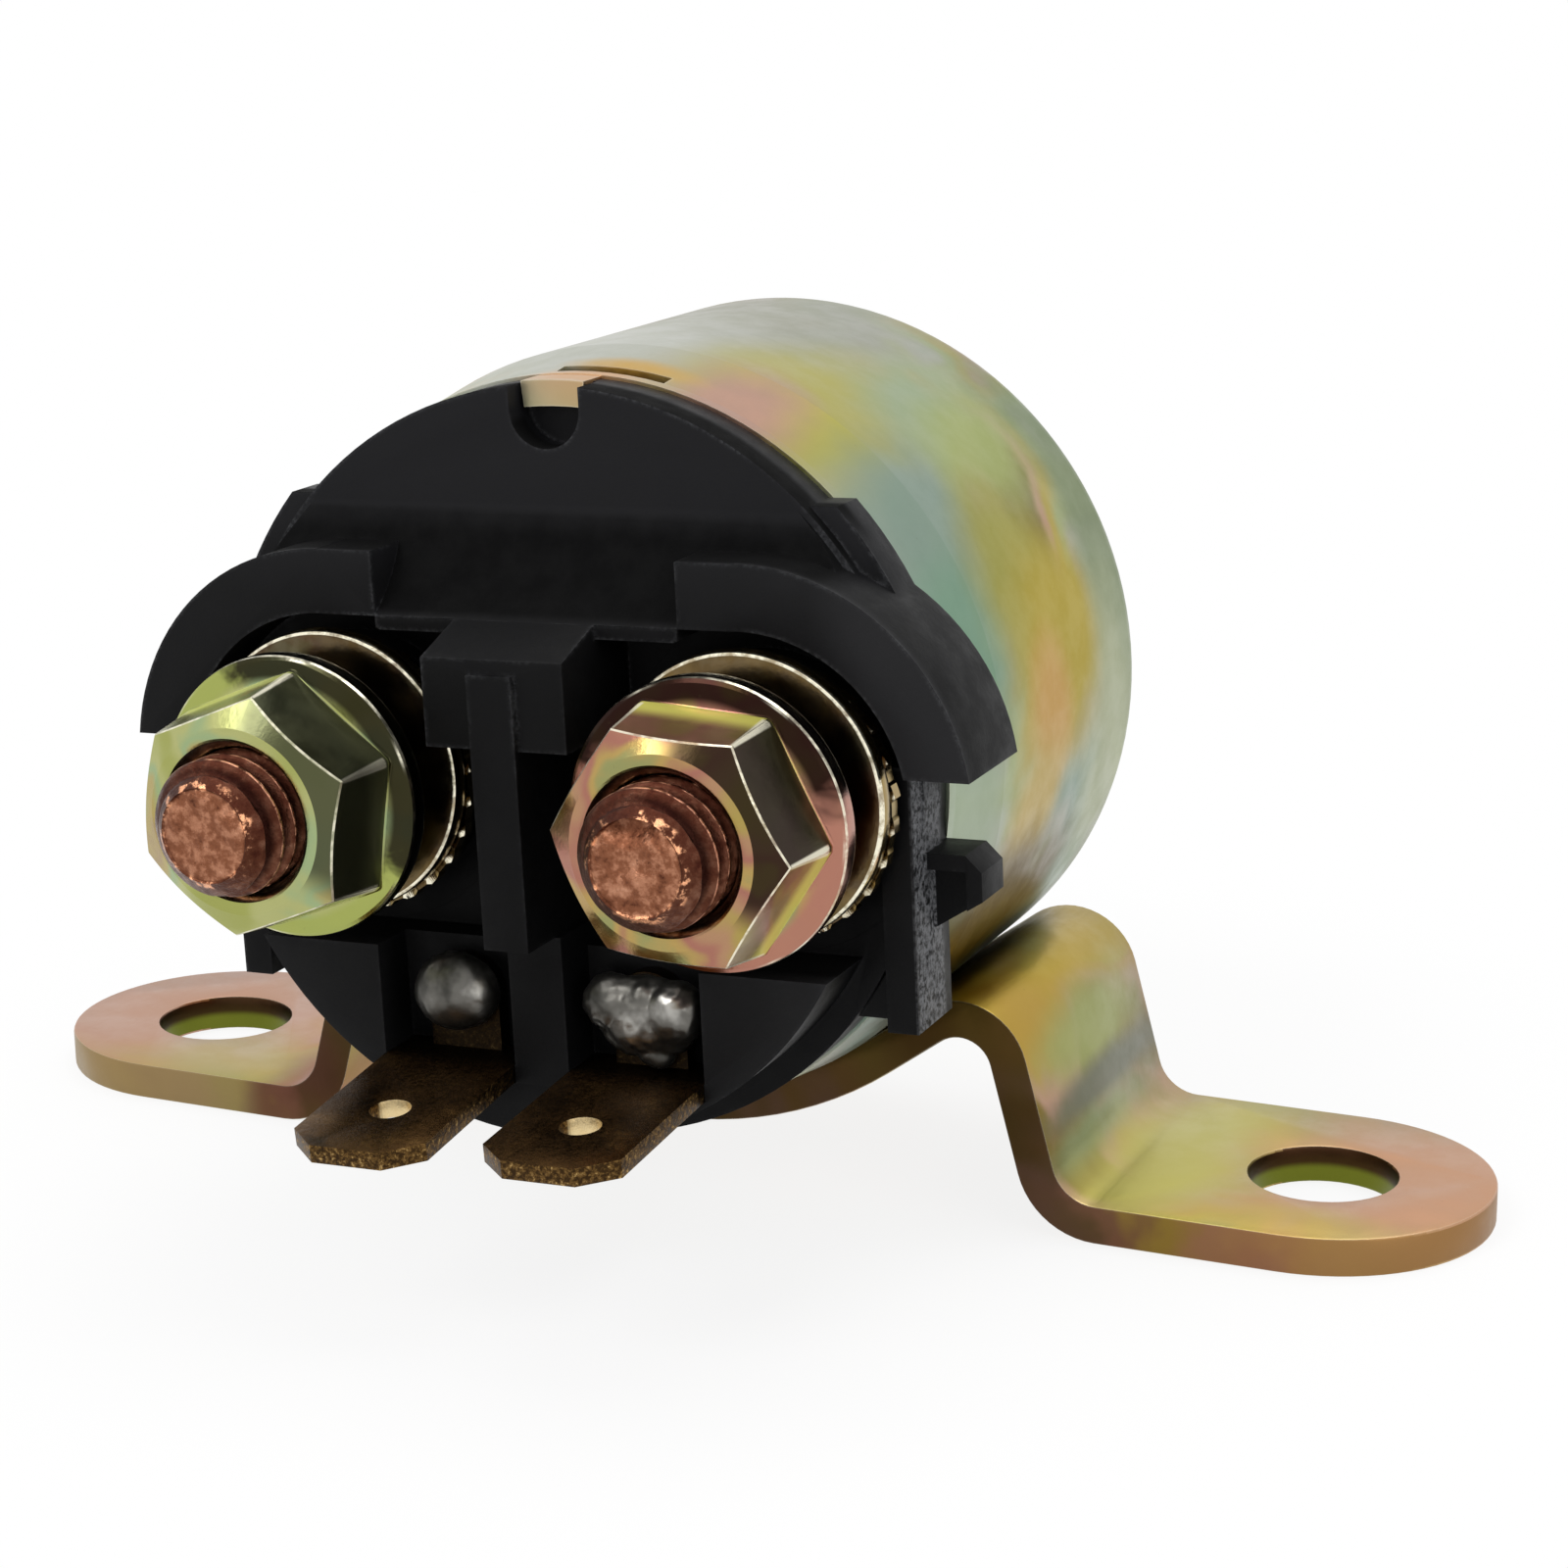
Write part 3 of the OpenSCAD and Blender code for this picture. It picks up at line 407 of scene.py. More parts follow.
def can_material():
    """The can: grey on top, gold round a pink core, teal, and a gold band down its right side."""
    stops = [
        (0.00, PLATE_TEAL), (0.30, PLATE_GREY), (0.52, PLATE_GREEN),
        (0.74, PLATE_GOLD), (0.90, PLATE_PINK), (1.00, PLATE_BROWN),
    ]
    spots = [
        # the grey top
        (srgb(146, 148, 134), 0.95, (0.5, 0, 39.5), (8, 12, 6)),
        (srgb(178, 180, 170), 0.90, (-3, -9, 39.5), (6, 8, 6)),
        # gold with a pink core, next to the cap
        (srgb(166, 160, 78), 1.00, (8.4, -8.8, 37.2), (4.8, 7.4, 5)),
        (srgb(172, 134, 118), 0.95, (6.6, -14.0, 38.2), (2.8, 5.0, 3)),
        # grey-teal beyond it, and a teal lens beside the cap
        (srgb(144, 162, 130), 0.85, (10.6, -1.2, 36), (3.0, 5.0, 4)),
        (srgb(128, 148, 134), 0.95, (14.0, -9.2, 32.6), (3.8, 4.8, 4.8)),
        (srgb(118, 150, 128), 0.95, (16.6, -11.0, 27.6), (2.6, 4.6, 4.4)),
        # the olive and gold band down the right side, with an orange-pink heart
        (srgb(158, 168, 98), 0.90, (12.8, 0.2, 34.2), (3, 4.4, 3.4)),
        (srgb(150, 146, 56), 1.00, (15.8, -3.4, 29.4), (3, 4.2, 4.8)),
        (srgb(172, 152, 34), 1.00, (17.0, -0.4, 25.6), (3, 5.0, 5.0)),
        (srgb(190, 148, 72), 0.95, (17.4, -2.9, 23.0), (2, 2.4, 3.2)),
        # the rear edge
        (srgb(118, 132, 96), 0.90, (15.4, 7.4, 31), (9, 3.0, 10)),
        (srgb(168, 174, 140), 0.85, (17.2, 5.8, 19), (4, 3.2, 7)),
        # tan, teal and brown where the can nears the bracket
        (srgb(184, 160, 88), 0.95, (17.1, -4.4, 18.8), (3, 3.2, 3.0)),
        (srgb(158, 172, 148), 0.85, (17.4, -12.4, 20.6), (3, 3.6, 4.4)),
        (srgb(96, 76, 12), 1.00, (15.6, -5.2, 14.0), (4.2, 8, 3.4)),
        # the staked tab and the lip of its slit
        (srgb(196, 154, 110), 0.95, (0.2, -14.6, 39.4), (3.0, 1.5, 2.4)),
        (srgb(190, 150, 56), 0.95, (1.8, -12.3, 39.6), (3.4, 1.0, 1.4)),
    ]
    return plated("plated_can", stops, 0.07, (3, 0, 8), (0.30, 0.44), spots, 0.35)


def bracket_touch(g, place, colour):
    """Sheared edges, purple-brown by the legs and brown-pink round the ears, and the holes' olive walls with
    painted shade towards their top.
    """
    x, y, z = g.split(place)
    sideways, upright = [g.math("ABSOLUTE", share) for share in g.split(g.facing())[1:]]
    sheared = g.math("MAXIMUM", g.span(upright, 0.08, 0.16, 1.0, 0.0), g.span(sideways, 0.5, 0.7))
    away = g.math("ABSOLUTE", x)
    along = g.plus(away, g.times(g.minus(g.noise(place, 0.3, 3.0), 0.5), 8.0))
    tint = g.ramp(g.span(along, 12, 36), [
        (0.05, srgb(52, 36, 18)), (0.24, srgb(66, 44, 30)), (0.36, srgb(96, 60, 50)),
        (0.50, srgb(124, 98, 44)), (0.70, srgb(134, 92, 68)), (0.95, srgb(150, 112, 68)),
    ])
    left = g.times(g.span(x, -24, -22, 1.0, 0.0), 0.6)
    tint = g.mix(left, tint, srgb(148, 134, 92))
    colour = g.mix(g.times(sheared, 0.92), colour, tint)
    side = g.minus(away, EAR_HOLE_X)
    hole = g.math("SQRT", g.plus(g.times(side, side), g.times(y, y)))
    wall = g.times(g.span(hole, EAR_HOLE_R + 0.3, EAR_HOLE_R + 0.6, 1.0, 0.0), sheared)
    # the hole walls: yellow-olive low down, turning to painted shade towards the top, under the hole's rim
    hole_wall_shade = g.ramp(g.span(z, 0.0, 2.0), [
        (0.25, srgb(104, 112, 34)), (0.55, srgb(58, 42, 20)), (0.95, srgb(70, 46, 30)),
    ])
    return g.mix(g.times(wall, 0.95), colour, hole_wall_shade)


def bracket_material():
    """The bracket: ochre crest, teal and grey slope, yellow-green foot and salmon-pink ears."""
    stops = [
        (0.00, srgb(156, 152, 92)), (0.35, PLATE_GOLD), (0.55, srgb(180, 142, 84)),
        (0.80, PLATE_PINK), (1.00, srgb(126, 108, 50)),
    ]
    spots = [
        # ochre crest, with painted shade beside the can
        (srgb(176, 150, 50), 1.00, (14.8, 0, 11), (3.0, 11, 3)),
        (srgb(78, 58, 8), 0.95, (12.4, -3, 9.5), (2.2, 9, 2.6)),
        # the slope: ochre in front, teal behind, a dark grey band across, then yellow-green
        (srgb(176, 144, 66), 0.90, (16.8, -6.0, 9.0), (1.8, 3.6, 2.2)),
        (srgb(150, 156, 92), 0.90, (17.8, 0.5, 7.2), (1.7, 6.5, 1.9)),
        (srgb(108, 110, 92), 0.95, (18.6, 0.5, 4.9), (1.4, 8, 1.0)),
        (srgb(132, 144, 104), 0.90, (19.3, -1.5, 3.3), (1.4, 7, 1.0)),
        (srgb(180, 172, 92), 1.00, (22.6, 0, 1.8), (3.8, 9, 2.0)),
        # the ears, salmon at their far ends
        (srgb(190, 144, 114), 0.95, (34.0, 0.6, 1.8), (7.0, 8, 3)),
        (srgb(186, 162, 88), 0.70, (28.6, -6.2, 1.8), (4.4, 1.8, 3)),
        (srgb(184, 144, 122), 0.95, (-31, 0, 1.8), (8, 9, 3)),
        (srgb(176, 160, 104), 0.70, (-26.0, -5, 1.8), (3.6, 3.6, 3)),
        # painted shade: the left leg's slope is painted a darker pink
        (srgb(146, 92, 84), 0.95, (-19.8, -3, 3.4), (2.6, 9, 3)),
    ]
    return plated("plated_bracket", stops, 0.10, (14, 3, 2), (0.30, 0.42), spots, 0.30, bracket_touch)


def rounded_edges(g, place, colour, axial, high, share):
    """Bright, uneven edges on the narrow roundings between a turned piece's faces: partly wear, partly
    painted highlight.
    """
    uneven = g.span(g.noise(place, 1.6, 3.0, 0.6), 0.35, 0.60, 0.30, 1.0)
    rounding = g.times(g.band(axial, 0.22, high, 0.04), g.times(share, uneven))
    return g.mix(rounding, colour, PLATE_WORN_AND_GLINT)


def towards(g, direction):
    """How much the surface faces a direction."""
    return g.vector("DOT_PRODUCT", g.facing(), direction)


def flange_tint(g, place, side, lean, low, high):
    """A nut's flange: colour low, turning to colour high, a painted shade, towards the angle lean from the
    right upwards.
    """
    across, up = g.mouth(place)[:2]
    right = g.minus(across, SIDES[side] * STUD_X / MM)
    reach = g.plus(g.times(right, math.cos(lean)), g.times(up, math.sin(lean)))
    cloud = g.noise(place, 0.55, 3.0, 0.6, 0.5)
    return g.mix(g.span(g.plus(reach, g.times(cloud, 4.0)), 2.8, 4.6), low, high)


def corner_wear_and_glint(g, radius, forward):
    """1 along the corners of a nut's hexagon."""
    ridge = g.plus(radius, g.times(forward, NUT_TAPER / NUT_HEX_L))
    return g.times(g.span(ridge, NUT_RIDGE - 0.09, NUT_RIDGE - 0.05), g.band(forward, *NUT_CORNERS, 0.05))


def nut_touch(side, lean, foot, flats, cone_low, cone_shade, shaded):
    """A nut's flats, dark in front and with a painted highlight at their foot, its flange, painted shade on
    the side that faces away from the light, and edges that are partly wear and partly painted highlight.
    """
    def paint(g, place, colour):
        forward = g.mouth(place)[2]
        radius = g.stud_distance(place)[0]
        axial = towards(g, (0, -1, 0))
        away = towards(g, (math.cos(SHADED_SIDE), 0, math.sin(SHADED_SIDE)))
        above = g.span(forward, *NUT_CONE_END)
        front = g.span(forward, *NUT_FRONT)
        # painted shade: the flange is painted dark towards the side that faces away from the light
        flange = flange_tint(g, place, side, math.radians(lean), cone_low, cone_shade)
        colour = g.mix(g.times(g.minus(1.0, above), 0.96), colour, flange)

        steep = g.times(g.span(axial, 0.40, 0.75, 1.0, 0.0), above)
        cloud = g.noise(place, 0.55, 3.0, 0.6, 0.5)
        # painted highlight: the rear part of the flats, by their foot, is painted bright where it would
        # reflect the flange
        sides = g.mix(g.span(forward, *NUT_GLINT_FOOT), foot, g.mix(cloud, flats, colour))
        colour = g.mix(g.times(steep, 0.92), colour, sides)
        # painted shade: flats that face towards the shaded side are painted the dark shade colour
        dark = g.times(steep, g.span(away, 0.45, 0.75))
        colour = g.mix(g.times(dark, 0.96), colour, shaded)
        # the flats are made partly non-metallic, so that diffuse light brightens them as a painted stand-in
        # for reflections, most of all at their foot on the lit sides
        film = g.times(steep, g.span(radius, 4.1, 4.3))
        lit = g.times(g.minus(1.0, g.times(dark, 0.75)), g.span(forward, *NUT_GLINT_FOOT, 0.85, 0.45))
        g.metal = g.minus(1.0, g.times(film, lit))

        # painted shade: the chamfer on the same side is painted the shade colour too
        chamfer = g.times(g.times(g.band(axial, 0.76, 0.96, 0.02), g.span(away, 0.16, 0.34)), front)
        colour = g.mix(g.times(chamfer, 0.94), colour, shaded)
        # front edges, flange rim and corners painted pale: partly wear, partly painted highlight
        rim = g.span(radius, NUT_FLANGE_R / MM - 0.16, NUT_FLANGE_R / MM - 0.10)
        wear_and_glint = g.times(g.math("MAXIMUM", front, rim), 0.80)
        colour = rounded_edges(g, place, colour, axial, 0.76, wear_and_glint)
        return g.mix(g.times(corner_wear_and_glint(g, radius, forward), 0.7), colour, PLATE_WORN_AND_GLINT)
    return paint


def washer_touch(g, place, colour):
    """A washer's paler outer side, painted shade on its patchy front face under the nut's flange, and bright
    rounded edges that are partly wear and partly painted highlight.
    """
    axial = towards(g, (0, -1, 0))
    outer = g.span(g.math("ABSOLUTE", axial), 0.2, 0.5, 0.8, 0.0)
    patchy = g.span(g.noise(place, 0.5, 3.0), 0.30, 0.70, 0.75, 0.35)
    # painted shade: the front face is painted dark brown where the nut's flange overhangs it
    face = g.times(g.span(axial, 0.97, 0.99), patchy)
    colour = g.mix(outer, g.mix(face, colour, srgb(46, 30, 14)), srgb(170, 148, 96))
    return rounded_edges(g, place, colour, axial, 0.97, 1.0)


def broken_flash(g, place):
    """1 in the rough patches where flash was broken off the cap's side walls."""
    across, up, forward = g.mouth(place)
    wall = g.times(g.band(g.math("ABSOLUTE", across), 16.31, 16.50, 0.03), g.band(up, -10.3, 1.3, 0.2))
    wall = g.times(wall, g.band(forward, 0.7, 3.7, 0.25))
    return g.times(wall, g.span(g.noise(place, 3.6, 5.0, 0.75), 0.38, 0.60))


def hollow_sweep(g, across, forward):
    """1 on the hollow sweep between the cap's face and its ledge, where painted shade goes."""
    face = g.node("ShaderNodeNewGeometry").outputs["Normal"]
    sweep = g.times(g.span(g.split(face)[2], 0.15, 0.45), g.band(forward, 1.3, 5.4, 0.3))
    return g.times(sweep, g.span(g.math("ABSOLUTE", across), 13.0, 14.5, 1.0, 0.0))


def phenolic_material():
    """Black moulding: a dull skin with painted light making it greyer near its top and on the hoods' right
    side, edges paler from wear and painted highlight, grey broken side walls, and painted shade in the
    hollow sweep.
    """
    g = Graph("black_phenolic")
    place = g.millimetres()
    across, up, forward = g.mouth(place)
    cloud = g.noise(place, 0.22, 3.0, 0.5)
    grain = g.noise(place, 5.0, 5.0, 0.7)
    # painted light: the skin is painted greyer towards the top, where more light falls
    painted_top_light = g.span(g.plus(up, g.times(cloud, 3.0)), 5.0, 13.0)
    colour = g.ramp(painted_top_light, [(0.0, srgb(11, 11, 12)), (0.5, srgb(15, 15, 16)), (1.0, srgb(25, 25, 27))])
    # painted light: the hoods' fronts are painted paler towards the right
    hoods = g.times(g.span(forward, 5.0, 6.4), g.span(g.math("ABSOLUTE", across), 6.0, 8.0))
    painted_hood_light = g.ramp(g.span(across, 7, 17), [
        (0.0, srgb(22, 22, 23)), (0.6, srgb(30, 30, 31)), (1.0, srgb(56, 56, 58)),
    ])
    colour = g.mix(g.times(hoods, 0.9), colour, painted_hood_light)
    # pale edges: partly wear, partly painted highlight, stronger towards the top
    patchy = g.span(g.noise(place, 0.5, 4.0, 0.6), 0.40, 0.62, 0.15, 1.0)
    rubbed_and_lit = g.times(g.span(up, -1.0, 4.0, 0.20, 1.0), patchy)
    wear_and_glint = g.times(g.edges(0.48 * MM, 0.72, 0.985), g.span(grain, 0.34, 0.70))
    colour = g.mix(g.times(wear_and_glint, g.times(rubbed_and_lit, 0.60)), colour, srgb(100, 101, 104))
    broken = broken_flash(g, place)
    colour = g.mix(g.times(broken, 0.85), colour, srgb(112, 113, 116))
    # painted shade: the hollow sweep is painted nearly black, and made rougher
    sweep = hollow_sweep(g, across, forward)
    colour = g.mix(g.times(sweep, 0.9), colour, srgb(3, 3, 3))
    rough = g.span(g.noise(place, 0.7, 4.0, 0.6), 0.3, 0.7, 0.40, 0.54)
    rough = g.plus(rough, g.times(sweep, 0.35))
    relief = g.plus(grain, g.times(broken, g.noise(place, 3.4, 4.0, 0.7)))
    return g.finish(colour, rough, g.bump(relief, 0.20, 0.06 * MM), Specular_IOR_Level=0.09)


def copper_material():
    """Stud: dark copper with painted highlights on its thread crests, painted shade in its roots and on its
    upper flank, and a mottled, pitted, paler cut end.
    """
    g = Graph("stud_copper")
    place = g.millimetres()
    radius, forward = g.stud_distance(place)
    mottle = g.noise(place, 1.7, 5.0, 0.65)
    pits = g.noise(place, 6.0, 4.0, 0.7)
    colour = g.ramp(mottle, [
        (0.28, srgb(84, 46, 32)), (0.45, srgb(134, 84, 60)),
        (0.60, srgb(176, 122, 94)), (0.80, srgb(224, 172, 142)),
    ])
    colour = g.mix(g.span(pits, 0.38, 0.26), colour, srgb(70, 38, 26))
    up = g.mouth(place)[1]
    inner = g.times(g.span(radius, 1.85, 2.05, 1.0, 0.0), g.span(forward, 15.2, 15.4))
    # painted shade: the thread is painted dark, most of all on its upper side inside the nut's bore
    flank_shade = g.times(g.minus(1.0, inner), g.span(up, -1.8, 1.0, 0.78, 0.96))
    colour = g.mix(g.times(flank_shade, 0.90), colour, srgb(58, 26, 20))
    # painted shade: the thread's roots are painted near black
    root = g.times(g.span(radius, 2.50, 2.86, 1.0, 0.0), g.span(forward, 15.0, 15.2, 1.0, 0.0))
    colour = g.mix(g.times(root, 0.85), colour, srgb(30, 12, 10))
    # painted highlight: the thread crests are painted bright salmon
    crest = g.times(g.span(radius, 2.95, 2.976), g.span(mottle, 0.40, 0.56))
    colour = g.mix(g.times(crest, 0.85), colour, srgb(236, 170, 138))
    rim = g.times(g.band(radius, 1.9, 2.3, 0.08), g.span(mottle, 0.52, 0.62))
    rim = g.times(rim, g.span(forward, 15.2, 15.5))
    colour = g.mix(rim, colour, srgb(248, 178, 134))
    rough = g.span(mottle, 0.3, 0.7, 0.46, 0.26)
    normal = g.bump(g.plus(mottle, pits), 0.50, 0.10 * MM)
    return g.finish(colour, rough, normal, Metallic=1.0)


def blade_material():
    """Blades: dark bronze tarnish, torn bright grain on the sheared edges, a painted highlight on walls
    facing forward, and black near the solder that is partly burnt flux and partly painted shade.
    """
    g = Graph("blade_brass")
    place = g.millimetres()
    cloud = g.noise(place, 0.45, 4.0, 0.6)
    grain = g.noise(place, 4.5, 4.0, 0.75)
    colour = g.ramp(cloud, [(0.25, srgb(54, 40, 24)), (0.5, srgb(88, 64, 38)), (0.8, srgb(130, 98, 58))])
    bright = g.ramp(grain, [
        (0.44, srgb(50, 36, 20)), (0.56, srgb(104, 78, 42)), (0.72, srgb(216, 182, 118)),
    ])
    face = g.node("ShaderNodeNewGeometry").outputs["Normal"]
    flat = g.math("ABSOLUTE", g.vector("DOT_PRODUCT", face, (math.sin(-CLOCKING), 0, math.cos(CLOCKING))))
    colour = g.mix(g.span(flat, 0.35, 0.75, 0.9, 0.0), colour, bright)
    forward = g.mouth(place)[2]
    # painted highlight: walls facing forward are painted near white
    forward_wall_glint = g.times(g.span(g.split(g.facing())[1], -0.2, -0.7), g.band(forward, 6.0, 11.3, 0.1))
    colour = g.mix(g.times(forward_wall_glint, 0.9), colour, srgb(246, 222, 170))
    # black towards the rear, near the solder: partly burnt flux, partly painted shade
    flux_and_shade = g.span(g.plus(forward, g.times(grain, 1.2)), 6.4, 8.6, 0.9, 0.0)
    colour = g.mix(flux_and_shade, colour, srgb(24, 19, 14))
    rough = g.span(grain, 0.3, 0.7, 0.34, 0.52)
    normal = g.bump(grain, 0.45, 0.06 * MM)
    return g.finish(colour, rough, normal, Metallic=1.0)


def solder_material():
    """Dull, clouded solder."""
    g = Graph("solder")
    place = g.millimetres()
    cloud = g.noise(place, 0.6, 3.0, 0.5)
    colour = g.ramp(cloud, [
        (0.30, srgb(70, 69, 65)), (0.5, srgb(106, 104, 99)), (0.74, srgb(180, 178, 172)),
    ])
    rough = g.span(cloud, 0.3, 0.7, 0.46, 0.28)
    normal = g.bump(g.noise(place, 1.6, 4.0, 0.5), 0.25, 0.10 * MM)
    return g.finish(colour, rough, normal, Metallic=0.95)


def plain_material(name, dark, light, scale, roughness, metallic=0.0, depth=0.04):
    """A two-tone material for the inner pieces, with a relief of a depth in millimetres."""
    g = Graph(name)
    place = g.millimetres()
    cloud = g.noise(place, scale, 4.0, 0.6)
    colour = g.ramp(cloud, [(0.3, dark), (0.7, light)])
    rough = g.span(g.noise(place, scale * 3, 3.0, 0.6), 0.3, 0.7, roughness - 0.08, roughness + 0.08)
    normal = g.bump(g.noise(place, scale * 8, 4.0, 0.6), 0.2, depth * MM)
    return g.finish(colour, rough, normal, Metallic=metallic)


NUT_LEFT_STOPS = [
    (0.00, srgb(160, 164, 92)), (0.35, srgb(176, 178, 118)), (0.62, srgb(156, 174, 128)),
    (0.85, srgb(178, 160, 100)), (1.00, srgb(162, 136, 110)),
]
NUT_RIGHT_STOPS = [
    (0.00, srgb(172, 152, 84)), (0.30, srgb(176, 136, 104)), (0.60, srgb(168, 114, 98)),
    (0.85, srgb(180, 152, 92)), (1.00, srgb(150, 150, 98)),
]
WASHER_STOPS = [
    (0.00, srgb(116, 96, 52)), (0.40, srgb(134, 110, 66)),
    (0.70, srgb(98, 72, 44)), (1.00, srgb(104, 98, 66)),
]
NUT_LEFT_TOUCH = nut_touch(
    side="left", lean=42, foot=srgb(200, 204, 118), flats=srgb(84, 80, 48),
    cone_low=srgb(162, 170, 92), cone_shade=srgb(40, 36, 24), shaded=srgb(78, 80, 58),
)
NUT_RIGHT_TOUCH = nut_touch(
    side="right", lean=86, foot=srgb(206, 202, 96), flats=srgb(104, 80, 44),
    cone_low=srgb(176, 122, 104), cone_shade=srgb(24, 12, 10), shaded=srgb(40, 32, 24),
)

MATERIALS = {
    "plated_can": can_material(),
    "plated_bracket": bracket_material(),
    "black_phenolic": phenolic_material(),
    "stud_copper": copper_material(),
    "blade_brass": blade_material(),
    "solder": solder_material(),
    "plated_nut_left": plated(
        "plated_nut_left", NUT_LEFT_STOPS, 0.20, (5, 1, 4), (0.14, 0.26), touch=NUT_LEFT_TOUCH,
    ),
    "plated_nut_right": plated(
        "plated_nut_right", NUT_RIGHT_STOPS, 0.20, (1, 7, 2), (0.14, 0.26), touch=NUT_RIGHT_TOUCH,
    ),
    "plated_washers": plated(
        "plated_washers", WASHER_STOPS, 0.25, (0, 2, 9), (0.16, 0.26), touch=washer_touch,
    ),
    "sealing_gasket": plain_material("sealing_gasket", srgb(50, 52, 50), srgb(66, 68, 65), 1.0, 0.75),
    "nylon": plain_material("nylon", srgb(206, 200, 184), srgb(222, 217, 204), 0.6, 0.5),
    "magnet_wire": plain_material("magnet_wire", srgb(140, 70, 38), srgb(186, 104, 62), 2.0, 0.32, 1.0, 0.1),
    "coil_tape": plain_material("coil_tape", srgb(190, 150, 50), srgb(212, 176, 74), 0.8, 0.4),
    "sleeving": plain_material("sleeving", srgb(214, 210, 200), srgb(232, 229, 220), 1.5, 0.6),
    "bare_steel": plain_material("bare_steel", srgb(150, 152, 154), srgb(186, 188, 190), 1.2, 0.32, 1.0),
    "tube_brass": plain_material("tube_brass", srgb(176, 142, 72), srgb(206, 174, 104), 1.2, 0.28, 1.0),
    "buffer_rubber": plain_material("buffer_rubber", srgb(34, 34, 35), srgb(46, 46, 47), 1.4, 0.8),
    "spring_steel": plain_material("spring_steel", srgb(160, 162, 166), srgb(196, 198, 202), 2.0, 0.3, 1.0),
    "contact_copper": plain_material(
        "contact_copper", srgb(186, 112, 80), srgb(220, 152, 118), 1.0, 0.34, 1.0,
    ),
    "bush_phenolic": plain_material("bush_phenolic", srgb(78, 50, 32), srgb(102, 68, 44), 1.0, 0.5),
}


def dress(piece, slot):
    """Gives a piece its slot's material."""
    piece.data.materials.clear()
    piece.data.materials.append(MATERIALS[slot])


def place(piece, node, slot):
    """A piece that stands for a CAD node rides where the node does."""
    body = next(name for name, group in frame["record"]["behaviour"]["bodies"].items() if node in group)
    dress(piece, slot)
    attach(piece, body)
    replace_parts(piece, node)
    return piece


def add_object(name, data):
    """A new object in the scene."""
    made = bpy.data.objects.new(name, data)
    bpy.context.scene.collection.objects.link(made)
    return made


def mesh_object(name, points, faces, matrix=None):
    """A new object from points and faces, moved by a matrix."""
    mesh = bpy.data.meshes.new(name)
    mesh.from_pydata([tuple(p) for p in points], [], faces)
    if matrix is not None:
        mesh.transform(matrix)
    mesh.validate()
    return add_object(name, mesh)


def shade(piece, angle):
    """Smooth shading, with creases sharper than an angle kept."""
    mesh = piece.data
    mesh.shade_smooth()
    shaped = bmesh.new()
    shaped.from_mesh(mesh)
    for edge in shaped.edges:
        if len(edge.link_faces) == 2 and edge.calc_face_angle(0.0) > math.radians(angle):
            edge.smooth = False
    shaped.to_mesh(mesh)
    shaped.free()


def ring_mesh(name, rings, matrix, closed=True):
    """A surface through rings of points. A closed one joins last to first, and an open one gets ends."""
    sides = len(rings[0])
    points = [p for ring in rings for p in ring]
    faces = []
    spans = len(rings) if closed else len(rings) - 1
    for k in range(spans):
        a, b = k * sides, ((k + 1) % len(rings)) * sides
        for i in range(sides):
            j = (i + 1) % sides
            faces.append((a + i, a + j, b + j, b + i))
    if not closed:
        faces.append(tuple(range(sides))[::-1])
        faces.append(tuple(range((len(rings) - 1) * sides, len(rings) * sides)))
    made = mesh_object(name, points, faces, matrix)
    shaped = bmesh.new()
    shaped.from_mesh(made.data)
    bmesh.ops.recalc_face_normals(shaped, faces=shaped.faces)
    shaped.to_mesh(made.data)
    shaped.free()
    return made


def ring(radius, height, sides, start=0.0):
    """Points round a stud's axis. The radius and the height are numbers or functions of the angle."""
    points = []
    for i in range(sides):
        angle = start + 2 * math.pi * i / sides
        r = radius(angle) if callable(radius) else radius
        z = height(angle) if callable(height) else height
        points.append((r * math.cos(angle), r * math.sin(angle), z))
    return points


def stud_place(side):
    """From a stud's own frame, with its axis along Z, to the part's."""
    return MOUTH @ Matrix.Translation((SIDES[side] * STUD_X, -STUD_DROP, 0))


